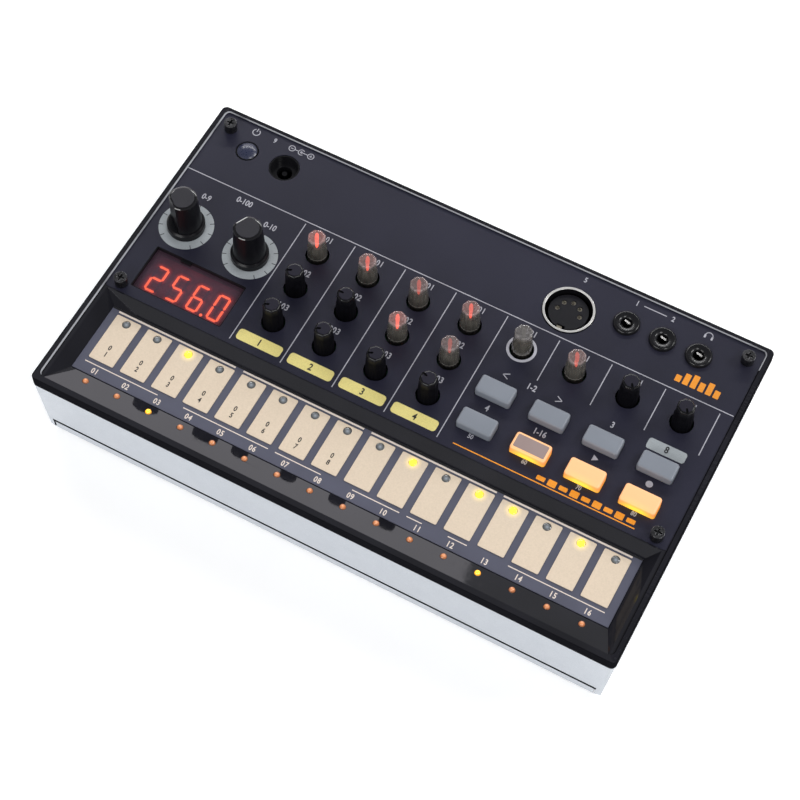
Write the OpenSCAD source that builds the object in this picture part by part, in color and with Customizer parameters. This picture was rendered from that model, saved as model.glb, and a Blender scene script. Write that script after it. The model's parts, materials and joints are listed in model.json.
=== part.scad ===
// Compact analogue-style drum machine: drafted lower case with a slide-off battery cover, a black upper frame
// with a sunk touch-pad tray, a printed deck with knobs, buttons and sockets, and the boards that they sit on.
// Millimetres. +X right, +Y to the back, +Z up. Origin: middle of the footprint, on the table.

/* [Body] */
// Width of the upper frame, left to right
body_w = 193; // [191:1:230]
// Depth of the upper frame, front to back
body_d = 115; // [114:1:140]
// Height of the playing deck above the table
deck_z = 30.5; // [30:0.5:45]
// Corner radius of the upper frame
corner_r = 3; // [2:0.5:6]
// Thickness of the rubber feet
foot_h = 1.6; // [1:0.1:2.6]
// Radius of the rubber feet
foot_r = 5.5; // [4:0.5:7]
// Distance of the feet from the sides of the frame
foot_inset = 14; // [12:1:30]
// Distance of the rear feet from the back edge
foot_back = 12; // [10:0.5:20]
// Distance of the cover's feet from the front edge
foot_front = 11; // [10:0.5:16]

/* [Lower case] */
// Wall thickness of the lower case
wall_t = 2; // [1.6:0.1:2.4]
// Floor thickness of the case and the battery cover
floor_t = 2; // [1.6:0.1:2.6]
// How far the case walls lean in from top to bottom
case_draft = 0.7; // [0:0.1:1]
// How far the frame stands out over the case
overhang = 1.2; // [0.8:0.1:1.6]
// Radius of the screw bosses
boss_r = 3; // [2.6:0.1:3.2]

/* [Battery bay] */
// Clear height of the battery bay
bay_h = 15.4; // [15:0.1:16]
// Clear length of the battery bay, along X
bay_w = 161; // [156:1:164]
// Wall thickness of the battery bay
bay_t = 1.5; // [1.2:0.1:2]
// Height of the cover's front flange
flange_h = 2.9; // [2.4:0.1:4]
// Gap around the battery cover
cover_gap = 0.3; // [0.2:0.05:0.4]
// Width of the cover's side tongues
tongue_w = 1; // [0.8:0.1:1.1]
// Thickness of the cover's side tongues
tongue_t = 0.8; // [0.6:0.1:0.9]

/* [Upper frame] */
// Height of the raised lip above the deck
lip_h = 0.7; // [0.4:0.1:1.2]
// Width of the raised lip at its foot
lip_w = 1.25; // [1:0.05:1.8]
// Bevel on the outer top edge of the lip
lip_bevel = 0.6; // [0.2:0.1:0.9]
// Height of the frame's skirt below the deck
skirt_h = 3.3; // [3:0.1:4]
// Width of the rim in front of the tray
front_rim = 2.1; // [1.8:0.1:2.6]

/* [Deck] */
// Thickness of the printed deck
deck_t = 1.5; // [1.2:0.1:1.8]
// Gap between the deck and the frame
deck_gap = 0.1; // [0.05:0.05:0.2]
// Height from the main board to the top of the deck
stack_h = 12.4; // [12.2:0.1:13.4]
// Thickness of the boards
board_t = 1.6; // [1.2:0.1:1.8]

/* [Touch tray] */
// Front-to-back length of the tray at its top
tray_d = 36.2; // [35:0.1:38]
// Depth of the tray
tray_h = 4; // [3:0.1:4.5]
// Distance of the tray from the sides of the frame
tray_inset = 3.2; // [2.8:0.1:4]
// Run of the front slope
slope_front = 9.1; // [8:0.1:10]
// Run of the back slope
slope_back = 2.9; // [2:0.1:3.4]
// Run of the side slopes
slope_side = 3.8; // [2:0.1:4.2]
// Distance from the sides of the tray floor to the pads
pad_side = 2.75; // [1.5:0.05:5]
// Gap between neighbouring pads
pad_gap = 2.5; // [1.5:0.1:4]
// Length of one pad
pad_l = 16.8; // [14:0.1:17.4]
// Thickness of one pad
pad_t = 0.3; // [0.2:0.1:0.6]
// Distance from the back of the tray floor to the pads
pad_back = 2.2; // [1.6:0.1:2.8]
// Radius of the light hole in a pad
pad_hole_r = 1.35; // [1:0.05:1.6]
// Distance from the back edge of a pad to its light
pad_led_in = 1.95; // [1.8:0.05:3]
// Radius of the lights on the front slope
part_led_r = 1; // [0.7:0.05:1.3]
// Distance from the foot of the front slope to its lights
part_led_up = 3; // [2.4:0.1:4]

/* [Dials] */
// Distance of the left dial from the left side
left_dial_in = 13; // [12.5:0.1:16.5]
// Distance of the right dial from the left side
right_dial_in = 35.9; // [32.5:0.1:37.5]
// Distance from the front edge of the deck to the dials
dial_front = 30.4; // [29.5:0.1:32]
// Height of the dial knobs above the deck
dial_h = 15.5; // [12:0.1:20]
// Radius of the dial skirt
dial_skirt_r = 6; // [5.6:0.1:7]
// Radius of the dial top
dial_top_r = 4.45; // [4.2:0.05:5]
// Distance from the axis to the flat on the dial
dial_flat = 3.55; // [3.5:0.05:4]
// Radius of the dial shafts
dial_shaft_r = 2.5; // [2:0.1:2.6]

/* [Small knobs] */
// Distance of the first knob column from the left side
knob_left_in = 54.1; // [53.5:0.1:55.5]
// Distance of the last knob column from the right side
knob_right_in = 15.21; // [15.2:0.01:17]
// Distance between knob rows
row_pitch = 13.8; // [12.5:0.1:14]
// Distance from the front edge of the deck to the first row
row_front = 13; // [12:0.1:14]
// Height of the small knobs above the deck
knob_h = 10.3; // [8:0.1:14]
// Radius of the small knobs
knob_r = 3.15; // [2.9:0.05:3.3]
// Radius of the stem in its potentiometer
stem_r = 2; // [1.5:0.1:2.2]
// Radial running clearance of stems and shafts
run_gap = 0.05; // [0.02:0.01:0.08]
// Radial gap of the knobs in the deck holes
hole_gap = 0.6; // [0.4:0.05:0.8]

/* [Buttons] */
// Width of one button
button_w = 11.2; // [9:0.1:12]
// Depth of one button
button_d = 5.9; // [5:0.1:6.5]
// Height of a button above the deck
button_h = 2.8; // [1.5:0.1:4]
// Travel of a button
button_travel = 0.7; // [0.3:0.1:0.9]
// Gap around a button in the deck
button_gap = 0.3; // [0.25:0.05:0.4]
// Distance from the front edge of the deck to the front button row
button_front = 10.7; // [10:0.1:11]
// Distance between the two button rows
button_pitch = 12.4; // [11:0.1:13]
// Radius of the power button
power_r = 3.3; // [3:0.1:3.6]
// Height of the power button above the deck
power_h = 1.1; // [1:0.1:2]
// Distance of the power button from the left side
power_in = 15.2; // [15:0.1:16.5]

/* [Sockets] */
// Distance from the back edge to the socket row
socket_back = 11.9; // [11:0.1:13]
// Distance of the power socket from the left side
dc_in = 28.8; // [27.5:0.1:30.5]
// Radius of the power socket's plug hole
dc_hole_r = 2.5; // [2:0.05:2.8]
// Radius of the power socket's pin
dc_pin_r = 0.85; // [0.6:0.05:1.05]
// Radius of the well around the power socket
dc_well_r = 4.9; // [4.2:0.1:5.4]
// Depth of the well above the power socket
dc_well_h = 3; // [2:0.1:4]
// Distance of the data socket from the right side
data_in = 61.6; // [60.5:0.1:63.5]
// Distance from the back edge to the data socket
data_back = 16.4; // [15.5:0.1:17]
// Outer radius of the data socket's ring
data_r = 8.2; // [8:0.1:8.6]
// Radius of the data socket's insulator
data_core_r = 6.3; // [6:0.1:6.6]
// Distance of the last jack from the right side
jack_in = 20; // [19.5:0.1:21.5]
// Distance between jacks
jack_pitch = 12; // [10:0.1:12.2]
// Bore radius of a jack
jack_bore_r = 1.8; // [1.75:0.05:2]
// Collar radius of a jack
jack_r = 4; // [3:0.1:4.4]
// Height of a jack's collar above the deck
jack_h = 1.2; // [0.4:0.1:2]

/* [Display] */
// Width of the display opening
view_w = 31.9; // [30:0.1:32]
// Depth of the display opening
view_d = 16.2; // [14:0.1:16.5]
// Distance of the middle of the display from the left side
view_in = 24.9; // [24.5:0.1:25.5]
// Distance from the front edge of the deck to the display opening
view_front = 3.6; // [3.4:0.1:4.4]
// Thickness of the display window
view_t = 1.4; // [1:0.1:1.5]

/* [Screws] */
// Distance of the deck screws from the sides
screw_side = 6.3; // [6.2:0.1:6.6]
// Distance of the rear deck screws from the back edge
screw_back = 6.9; // [6.5:0.1:8]
// Radius of the deck screw heads
head_r = 2.05; // [1.8:0.05:2.2]
// Height of the deck screw heads
head_h = 3.5; // [2:0.1:4]
// Radius of the screw shanks
shank_r = 1.25; // [1:0.05:1.4]
// Clearance around a screw in a hole it passes through
screw_gap = 0.15; // [0.1:0.05:0.25]

/* [Hidden] */
$fn = 64;

eps = 0.01;
cut = 1;                                    // how far a cutter runs past a face
flat_gap = 0.2;                             // gap between pieces that only pass each other
seat_gap = 0.05;                            // gap of a piece pushed into its seat

// planes and levels
front_y = -body_d / 2;
back_y = body_d / 2;
left_x = -body_w / 2;
right_x = body_w / 2;
case_bottom = foot_h;
floor_top = case_bottom + floor_t;
skirt_z = deck_z - skirt_h;
lip_z = deck_z + lip_h;
deck_low = deck_z - deck_t;
board_top = deck_z - stack_h;
board_low = board_top - board_t;

// lower case
case_w = body_w - 2 * overhang;
case_d = body_d - 2 * overhang;
room_w = case_w - 2 * case_draft - 2 * wall_t;
room_d = case_d - 2 * case_draft - 2 * wall_t;
case_corner_r = corner_r - 0.5;

// tray
tray_front_y = front_y + front_rim;
tray_back_y = tray_front_y + tray_d;
tray_edge = 0.4;                            // strip of frame between the tray and the deck
deck_front_y = tray_back_y + tray_edge;
tray_w = body_w - 2 * tray_inset;
tray_z = deck_z - tray_h;
floor_front_y = tray_front_y + slope_front;
floor_back_y = tray_back_y - slope_back;
floor_w = tray_w - 2 * slope_side;
ledge_w = 1.1;                              // ledge under the touch board
ledge_t = 2;
under_z = tray_z - board_t - ledge_t;       // underside of the tray body
tray_wall = 1.8;                            // frame behind the tray, under the deck's front edge

// deck seat
seat_w = body_w - 2 * lip_w;
seat_back_y = back_y - lip_w;
seat_r = corner_r - 1;
rim_ledge = 3.7;                            // ledge that carries the deck
deck_w = seat_w - 2 * deck_gap;
deck_d = seat_back_y - deck_front_y - 2 * deck_gap;
deck_mid_y = (seat_back_y + deck_front_y) / 2;

// pads
pad_n = 16;
pad_w = (floor_w - 2 * pad_side - (pad_n - 1) * pad_gap) / pad_n;
pad_pitch = pad_w + pad_gap;
pad_mid_y = floor_back_y - pad_back - pad_l / 2;
pad_led_y = pad_mid_y + pad_l / 2 - pad_led_in;
part_led_y = floor_front_y - part_led_up;
part_led_z = tray_z + part_led_up * tray_h / slope_front;
part_led_sink = 0.35;                       // how far the dome of a light sits below the slope
function pad_x(i) = (i - (pad_n - 1) / 2) * pad_pitch;

// battery bay and cover
bay_front_y = -room_d / 2 + bay_t;
bay_d = 31.2;
bay_back_y = bay_front_y + bay_d;
bay_top = floor_top + bay_h;
cell_ys = [bay_front_y + bay_d / 4, bay_front_y + 3 * bay_d / 4];
contact_z = floor_top + 7.6;                // middle of the battery contacts
contact_h = 10;
contact_t = 0.4;
rib_t = 1;
rib_z = contact_z + contact_h / 2 + flat_gap;
cover_w = room_w - 2 * cover_gap;
cover_back_y = bay_back_y;
ledge_z = case_bottom + 1;                  // top of the ledges that the cover slides on
plate_w = cover_w - 2 * tongue_w - 2 * cover_gap;
cover_top = case_bottom + floor_t;
tongue_z = cover_top - tongue_t;
grip_front = 16;                            // finger grip, from the front edge
grip_w = 26;
rail_h = 1;

// knobs, buttons and dials
col_n = 8;
col_pitch = (body_w - knob_left_in - knob_right_in) / (col_n - 1);
dial_y = deck_front_y + dial_front;
function col_x(c) = left_x + knob_left_in + c * col_pitch;
function row_y(r) = deck_front_y + row_front + r * row_pitch;
left_dial_x = left_x + left_dial_in;
right_dial_x = left_x + right_dial_in;
dial_xs = [left_dial_x, right_dial_x];
power_x = left_x + power_in;
small_spots = [[0, 2], [0, 1], [0, 0], [1, 2], [1, 1], [1, 0], [2, 2], [2, 1], [2, 0], [3, 2], [3, 1], [3, 0],
    [4, 2], [5, 2], [6, 2], [7, 2]];
button_cols = [4, 5, 6, 7];
button_ys = [deck_front_y + button_front + button_pitch, deck_front_y + button_front];
knob_hole_r = knob_r + hole_gap;
pot_size = 9.4;
pot_h = 6.4;
pot_floor = 1;                              // under the bore that a stem or shaft turns in
stem_lift = 1.2;                            // how far above the board a stem or shaft ends
dial_pot_size = 11;
dial_pot_h = 8.6;
dial_hole_r = dial_shaft_r + 1;
switch_size = 6.2;
switch_h = 5;
flange_w = 0.8;                             // flange that holds a button under the deck
flange_t = 0.9;
key_stem_r = 1.5;
key_well_r = 1.9;
key_stem_z = board_top + 2.6;

// sockets
socket_y = back_y - socket_back;
data_y = back_y - data_back;
dc_x = left_x + dc_in;
data_x = right_x - data_in;
jack_xs = [for (k = [2, 1, 0]) right_x - jack_in - k * jack_pitch];
jack_body = [jack_pitch - 1.5, 11.5];
jack_body_z = deck_low - flat_gap;
data_wall = 0.65;
socket_floor = 1.5;                         // floor of the two deep sockets above the board
view_x = left_x + view_in;
view_y = deck_front_y + view_front + view_d / 2;
view_flange = 0.9;

// screws and supports
screw_x = body_w / 2 - screw_side;
screw_ys = [deck_front_y + 2.9, back_y - screw_back];
panel_screw_spots = [for (sx = [-1, 1], y = screw_ys) [sx * screw_x, y]];
screw_l = 12;
lug_r = 2.3;
post_spots = [[-20, back_y - 9], [25, back_y - 7.5], [-52.5, bay_back_y + 7.9], [19.5, bay_back_y + 8.1]];
speaker_at = [-50, 24];
speaker_r = 17;
foot_x = body_w / 2 - foot_inset;
rear_foot_y = back_y - foot_back;
cover_foot_y = front_y + foot_front;

// ---------- shared shapes ----------

// a plate with round corners, centred in X and Y
module round_plate(w, d, r, h) {
    linear_extrude(h) union() {
        square([w - 2 * r, d], center = true);
        square([w, d - 2 * r], center = true);
        for (sx = [-1, 1], sy = [-1, 1]) translate([sx * (w / 2 - r), sy * (d / 2 - r)]) circle(r);
    }
}

// a box centred in X and Y, standing on z = 0
module block(w, d, h) {
    translate([-w / 2, -d / 2, 0]) cube([w, d, h]);
}

// a prism whose width goes from w_low to w_high over h, centred, running along Y
module taper_x(w_low, w_high, h, length) {
    translate([0, length / 2, 0]) rotate([90, 0, 0]) linear_extrude(length)
        polygon([[-w_low / 2, 0], [w_low / 2, 0], [w_high / 2, h], [-w_high / 2, h]]);
}

// a prism along X between y_low and y_high at the bottom and at the top
module taper_y(low, high, h, length) {
    translate([-length / 2, 0, 0]) rotate([90, 0, 90]) linear_extrude(length)
        polygon([[low[0], 0], [low[1], 0], [high[1], h], [high[0], h]]);
}

// the same piece at each of a list of [x, y] places
module at_each(spots) {
    for (p = spots) translate([p[0], p[1], 0]) children();
}

// ---------- lower case ----------

module case_outside() {
    h = skirt_z - case_bottom;
    translate([0, 0, case_bottom]) intersection() {
        round_plate(case_w, case_d, case_corner_r, h);
        taper_x(case_w - 2 * case_draft, case_w, h, body_d);
        taper_y([-case_d / 2 + case_draft, case_d / 2 - case_draft], [-case_d / 2, case_d / 2], h, body_w);
    }
}

// slots in the floor below the speaker
module speaker_slots() {
    for (k = [-3:3]) {
        half = sqrt(pow(speaker_r - 4, 2) - pow(k * 4, 2));
        translate([speaker_at[0] + k * 4, speaker_at[1], case_bottom - cut])
            block(1.8, 2 * half, floor_t + 2 * cut);
    }
}

// the space that the cover fills, in the floor and in the front wall
module cover_space() {
    flange_d = wall_t + case_draft + cut;
    translate([-cover_w / 2 - cover_gap, front_y, case_bottom - cut])
        cube([cover_w + 2 * cover_gap, overhang + flange_d, flange_h + cover_gap + cut]);
    translate([-plate_w / 2 - cover_gap, front_y, case_bottom - cut])
        cube([plate_w + 2 * cover_gap, cover_back_y + cover_gap - front_y, floor_t + 2 * cut]);
    translate([-cover_w / 2 - cover_gap, front_y, ledge_z])
        cube([cover_w + 2 * cover_gap, cover_back_y + cover_gap - front_y, cover_top + flat_gap - ledge_z]);
}

module bay_shell() {
    difference() {
        translate([-bay_w / 2 - bay_t, -room_d / 2 - eps, floor_top - eps])
            cube([bay_w + 2 * bay_t, bay_d + 2 * bay_t + eps, bay_h + bay_t]);
        translate([-bay_w / 2, bay_front_y, floor_top - cut]) cube([bay_w, bay_d, bay_h + cut]);
    }
    // rib between the two rows of cells, above the contact plates
    translate([-bay_w / 2, bay_front_y + bay_d / 2 - rib_t / 2, rib_z]) cube([bay_w, rib_t, bay_top - rib_z + eps]);
}

module lower_case() color([0.84, 0.87, 0.9]) difference() {
    union() {
        difference() {
            case_outside();
            translate([0, 0, floor_top]) block(room_w, room_d, deck_z);
        }
        bay_shell();
        // bosses for the deck screws, in the corners
        at_each(panel_screw_spots) translate([0, 0, floor_top - eps])
            cylinder(r = boss_r, h = skirt_z - flat_gap - floor_top);
        // posts that carry the main board
        at_each(post_spots) translate([0, 0, floor_top - eps]) cylinder(r = boss_r, h = board_low - floor_top);
        // rails over the cover's tongues
        for (sx = [-1, 1]) translate([sx * (room_w / 2 - tongue_w / 2), (bay_back_y - room_d / 2) / 2,
            cover_top + flat_gap]) block(tongue_w + eps, bay_back_y + room_d / 2, rail_h);
    }
    cover_space();
    speaker_slots();
    at_each(panel_screw_spots) translate([0, 0, deck_z - screw_l - 2]) cylinder(r = shank_r + seat_gap, h = deck_z);
    at_each(post_spots) {
        translate([0, 0, case_bottom - cut]) cylinder(r = 2.75, h = cut + 2.2);
        translate([0, 0, case_bottom]) cylinder(r = shank_r + screw_gap, h = deck_z);
    }
}

module battery_cover() color([0.84, 0.87, 0.9]) difference() {
    union() {
        // plate
        translate([-plate_w / 2, front_y + overhang + case_draft + wall_t, case_bottom])
            cube([plate_w, cover_back_y - front_y - overhang - case_draft - wall_t, floor_t]);
        // front flange, with the lean of the case wall
        intersection() {
            translate([-cover_w / 2, front_y, case_bottom])
                cube([cover_w, overhang + case_draft + wall_t + eps, flange_h]);
            translate([0, 0, case_bottom]) taper_y([-case_d / 2 + case_draft, 0], [-case_d / 2, 0],
                skirt_z - case_bottom, body_w);
        }
        // side tongues
        translate([-cover_w / 2, front_y + overhang + case_draft + wall_t - eps, tongue_z])
            cube([cover_w, cover_back_y - front_y - overhang - case_draft - wall_t - 2, tongue_t]);
    }
    // finger grip across the underside
    for (k = [0:4]) translate([0, front_y + grip_front + 2 * k, case_bottom - eps]) block(grip_w, 0.9, 0.5);
}

module rear_feet() color([0.12, 0.12, 0.13])
    for (sx = [-1, 1]) translate([sx * foot_x, rear_foot_y, 0]) cylinder(r = foot_r, h = foot_h);

module cover_feet() color([0.12, 0.12, 0.13])
    for (sx = [-1, 1]) translate([sx * foot_x, cover_foot_y, 0]) cylinder(r = foot_r, h = foot_h);

module case_screws() color([0.35, 0.35, 0.37]) at_each(post_spots) difference() {
    union() {
        translate([0, 0, case_bottom + 0.3]) cylinder(r = 2.55, h = 1.9);
        translate([0, 0, case_bottom + 2]) cylinder(r = shank_r, h = board_top - case_bottom - 2.2);
    }
    translate([0, 0, case_bottom]) for (a = [0, 90]) rotate(a) block(2.8, 0.7, 1.1);
}

// ---------- battery contacts ----------

module contact_springs() color([0.75, 0.75, 0.72]) for (k = [0, 1])
    translate([(2 * k - 1) * (bay_w / 2 - contact_t), cell_ys[k], contact_z]) rotate([0, (2 * k - 1) * -90, 0])
        difference() {
            cylinder(r1 = 4.4, r2 = 3.2, h = 5);
            translate([0, 0, -cut]) cylinder(r = 2.4, h = 5 + 2 * cut);
        }

module contact_plates() color([0.75, 0.75, 0.72]) for (sx = [-1, 1])
    translate([sx * (bay_w / 2 - contact_t / 2), bay_front_y + bay_d / 2, contact_z - contact_h / 2])
        block(contact_t, bay_d - 2.5, contact_h);

// ---------- speaker ----------

module speaker_frame() color([0.3, 0.3, 0.32]) translate([speaker_at[0], speaker_at[1], floor_top])
    difference() {
        union() {
            cylinder(r = speaker_r, h = 1.5);
            cylinder(r1 = speaker_r - 2, r2 = 9, h = 6);
            cylinder(r = 9, h = 9.5);
        }
        translate([0, 0, -cut]) cylinder(r = speaker_r - 3.2, h = cut + 0.8);
        translate([0, 0, 0.8 - eps]) cylinder(r1 = speaker_r - 3.2, r2 = 7, h = 4.2);
    }

module speaker_cone() color([0.1, 0.1, 0.11]) translate([speaker_at[0], speaker_at[1], floor_top + 0.8]) {
    difference() {
        cylinder(r1 = speaker_r - 3.3, r2 = 6.9, h = 4.1);
        translate([0, 0, -eps]) cylinder(r1 = speaker_r - 4.2, r2 = 5.8, h = 3.6);
    }
    translate([0, 0, 0.6]) cylinder(r = 5.2, h = 3.3);
}

// ---------- boards and what they carry ----------

module main_board() color([0.1, 0.3, 0.18]) difference() {
    w = room_w - 2;
    y0 = bay_back_y + bay_t + 1;
    translate([-w / 2, y0, board_low]) cube([w, room_d / 2 - 0.7 - y0, board_t]);
    at_each(panel_screw_spots) translate([0, 0, board_low - cut]) block(2 * boss_r + 3, 2 * boss_r + 3, board_t + 2 * cut);
    at_each(post_spots) translate([0, 0, board_low - cut]) cylinder(r = shank_r + screw_gap, h = board_t + 2 * cut);
}

// [x, distance behind the back row of knobs, width, depth]
chips = [[-36, 16.2, 12, 12], [-10, 16.2, 9, 9], [6, 18.2, 7, 10], [-36, 27.2, 9, 3]];
chip_h = 1.6;
// [x, distance behind the back row of knobs]
caps = [[-50, 14.2], [-50, 22.2], [-22, 11.2], [17, 10.2], [right_x - 9.5, 11.2], [right_x - 18.5, 11.2]];
cap_r = 2.6;
cap_h = 6.5;

module board_chips() color([0.12, 0.12, 0.13]) {
    for (c = chips) translate([c[0], row_y(2) + c[1], board_top]) block(c[2], c[3], chip_h);
    for (c = caps) translate([c[0], row_y(2) + c[1], board_top]) cylinder(r = cap_r, h = cap_h);
}

module small_pots() color([0.16, 0.3, 0.2]) for (s = small_spots)
    translate([col_x(s[0]), row_y(s[1]), board_top]) difference() {
        block(pot_size, pot_size, pot_h);
        translate([0, 0, pot_floor]) cylinder(r = stem_r + run_gap, h = pot_h);
    }

module dial_pots() color([0.16, 0.3, 0.2]) for (x = dial_xs)
    translate([x, dial_y, board_top]) difference() {
        union() {
            block(dial_pot_size, dial_pot_size, dial_pot_h);
            cylinder(r = dial_shaft_r + 0.8, h = deck_z - 0.2 - board_top);
        }
        translate([0, 0, pot_floor]) cylinder(r = dial_shaft_r + run_gap, h = deck_z);
    }

// box with a well that a button's stem drops into
module key_switch(x, y) {
    translate([x, y, board_top]) difference() {
        block(switch_size, switch_size, switch_h);
        translate([0, 0, 1.4]) cylinder(r = key_well_r, h = switch_h);
    }
}

module key_switches() color([0.2, 0.2, 0.22]) {
    for (c = button_cols, y = button_ys) key_switch(col_x(c), y);
    key_switch(power_x, socket_y);
}

module display_module() color([0.2, 0.2, 0.2]) translate([view_x, view_y, board_top])
    block(view_w - 1.6, view_d - 1.6, deck_low - view_t - 0.3 - board_top);

// flat cable from the touch board over the back of the battery bay to the main board
module ribbon_cable() color([0.8, 0.78, 0.7]) {
    y_plug = bay_back_y + bay_t + 4;
    z_run = bay_top + bay_t + 0.5;
    y_rise = floor_back_y - 5;
    t = 0.4;
    translate([-10, 0, 0]) rotate([90, 0, 90]) linear_extrude(20) polygon([[y_plug, board_top],
        [y_plug, z_run + t], [y_rise - t, z_run + t], [y_rise - t, tray_z - board_t], [y_rise - 2 * t, tray_z - board_t],
        [y_rise - 2 * t, z_run], [y_plug - t, z_run], [y_plug - t, board_top]]);
}

// ---------- touch tray ----------

module touch_board() color([0.37, 0.39, 0.52])
    translate([-floor_w / 2 + seat_gap, floor_front_y + seat_gap, tray_z - board_t])
        cube([floor_w - 2 * seat_gap, floor_back_y - floor_front_y - 2 * seat_gap, board_t]);

module touch_pads() color([0.93, 0.86, 0.77]) for (i = [0:pad_n - 1])
    translate([pad_x(i), pad_mid_y, tray_z]) difference() {
        round_plate(pad_w, pad_l, 0.4, pad_t);
        translate([0, pad_led_y - pad_mid_y, -cut]) cylinder(r = pad_hole_r, h = pad_t + 2 * cut);
    }

module pad_lights() color([1, 0.8, 0.2]) for (i = [0:pad_n - 1])
    translate([pad_x(i), pad_led_y, tray_z]) cylinder(r = pad_hole_r - 0.15, h = pad_t);

module part_lights() color([0.9, 0.5, 0.3]) for (i = [0:pad_n - 1]) translate([pad_x(i), part_led_y, 0]) {
    translate([0, 0, under_z]) cylinder(r = part_led_r, h = part_led_z - part_led_sink - under_z);
    translate([0, 0, part_led_z - part_led_sink]) sphere(part_led_r);
}

// ---------- upper frame ----------

// the sunk tray: sloping walls up to the deck level
module tray_cut() {
    translate([0, 0, tray_z]) intersection() {
        taper_x(floor_w, tray_w, tray_h, 2 * body_d);
        taper_y([floor_front_y, floor_back_y], [tray_front_y, tray_back_y], tray_h, 2 * body_w);
    }
}

module frame_blank() {
    h = lip_z - skirt_z;
    b = lip_bevel;
    translate([0, 0, skirt_z]) intersection() {
        round_plate(body_w, body_d, corner_r, h);
        translate([0, body_d, 0]) rotate([90, 0, 0]) linear_extrude(2 * body_d) polygon([[-body_w / 2, 0],
            [body_w / 2, 0], [body_w / 2, h - b], [body_w / 2 - b, h], [-body_w / 2 + b, h], [-body_w / 2, h - b]]);
        translate([-body_w, 0, 0]) rotate([90, 0, 90]) linear_extrude(2 * body_w) polygon([[front_y, 0],
            [back_y, 0], [back_y, h - b], [back_y - b, h], [front_y + b, h], [front_y, h - b]]);
    }
}

module top_frame() color([0.12, 0.12, 0.15]) difference() {
    body_front_y = -room_d / 2 + 0.3;
    body_back_y = deck_front_y + tray_wall;
    union() {
        difference() {
            frame_blank();
            // open middle under the deck
            translate([-seat_w / 2 + rim_ledge, body_back_y, skirt_z - cut])
                cube([seat_w - 2 * rim_ledge, seat_back_y - rim_ledge - body_back_y, deck_z]);
        }
        translate([-room_w / 2 + 0.3, body_front_y, under_z])
            cube([room_w - 0.6, body_back_y - body_front_y, skirt_z + eps - under_z]);
        at_each(panel_screw_spots) translate([0, 0, skirt_z]) cylinder(r = lug_r, h = deck_low - skirt_z);
    }
    // level inside the lip, beside the tray
    translate([0, (tray_front_y + seat_back_y) / 2, deck_z])
        round_plate(seat_w, seat_back_y - tray_front_y, seat_r, lip_h + cut);
    // seat of the deck
    translate([0, deck_mid_y, deck_low]) round_plate(seat_w, seat_back_y - deck_front_y, seat_r, deck_t + cut);
    tray_cut();
    // seat and opening for the touch board
    translate([-floor_w / 2, floor_front_y, tray_z - board_t]) cube([floor_w, floor_back_y - floor_front_y, board_t + eps]);
    translate([-floor_w / 2 + ledge_w, floor_front_y + ledge_w, under_z - cut])
        cube([floor_w - 2 * ledge_w, floor_back_y - floor_front_y - 2 * ledge_w, tray_z - under_z]);
    for (i = [0:pad_n - 1]) translate([pad_x(i), part_led_y, under_z - cut])
        cylinder(r = part_led_r + seat_gap, h = tray_h + deck_z);
    at_each(panel_screw_spots) {
        translate([0, 0, skirt_z - cut]) cylinder(r = shank_r + screw_gap, h = deck_z);
        translate([0, 0, under_z - cut]) cylinder(r = boss_r + 0.3, h = skirt_z - under_z + cut);
    }
}

// ---------- deck ----------

module deck_panel() color([0.19, 0.19, 0.23]) difference() {
    translate([0, deck_mid_y, deck_low]) round_plate(deck_w, deck_d, seat_r - deck_gap, deck_t);
    translate([0, 0, deck_low - cut]) {
        h = deck_t + 2 * cut;
        for (s = small_spots) translate([col_x(s[0]), row_y(s[1]), 0]) cylinder(r = knob_hole_r, h = h);
        for (x = dial_xs) translate([x, dial_y, 0]) cylinder(r = dial_hole_r, h = h);
        for (c = button_cols, y = button_ys) translate([col_x(c), y, 0])
            round_plate(button_w + 2 * button_gap, button_d + 2 * button_gap, 0.8, h);
        translate([power_x, socket_y, 0]) cylinder(r = power_r + 0.45, h = h);
        translate([dc_x, socket_y, 0]) cylinder(r = dc_well_r + 0.1, h = h);
        translate([data_x, data_y, 0]) cylinder(r = data_r + 0.2, h = h);
        for (x = jack_xs) translate([x, socket_y, 0]) cylinder(r = jack_r + 0.1, h = h);
        translate([view_x, view_y, 0]) round_plate(view_w, view_d, 0.6, h);
        at_each(panel_screw_spots) cylinder(r = shank_r + screw_gap, h = h);
    }
}

module panel_screws() color([0.1, 0.1, 0.11]) at_each(panel_screw_spots) difference() {
    union() {
        translate([0, 0, deck_z]) cylinder(r = head_r, h = head_h);
        translate([0, 0, deck_z - screw_l]) cylinder(r = shank_r, h = screw_l + eps);
    }
    translate([0, 0, deck_z + head_h - 1.2]) for (a = [0, 90]) rotate(a) block(2.5, 0.6, 2);
}

module display_window() color([0.25, 0.2, 0.27]) difference() {
    translate([view_x, view_y, deck_low - view_t])
        round_plate(view_w + 2 * view_flange, view_d + 2 * view_flange, 0.8, view_t);
    at_each(panel_screw_spots) translate([0, 0, deck_low - view_t - cut])
        cylinder(r = lug_r + flat_gap, h = view_t + 2 * cut);
}

// ---------- sockets ----------

module data_socket_shell() color([0.85, 0.85, 0.87]) translate([data_x, data_y, 0]) difference() {
    translate([0, 0, board_top]) cylinder(r = data_r, h = deck_z + 0.3 - board_top);
    translate([0, 0, board_top + socket_floor]) cylinder(r = data_r - data_wall, h = deck_z);
}

module data_socket_core() color([0.1, 0.1, 0.11]) translate([data_x, data_y, board_top + socket_floor]) {
    h = deck_z - 1.2 - board_top - socket_floor;
    difference() {
        cylinder(r = data_core_r, h = h);
        for (k = [0:4]) rotate(45 * k) translate([3.75, 0, 2]) cylinder(r = 0.85, h = h);
        translate([0, -data_core_r, 2]) block(2.6, 2.2, h);
    }
}

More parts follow.
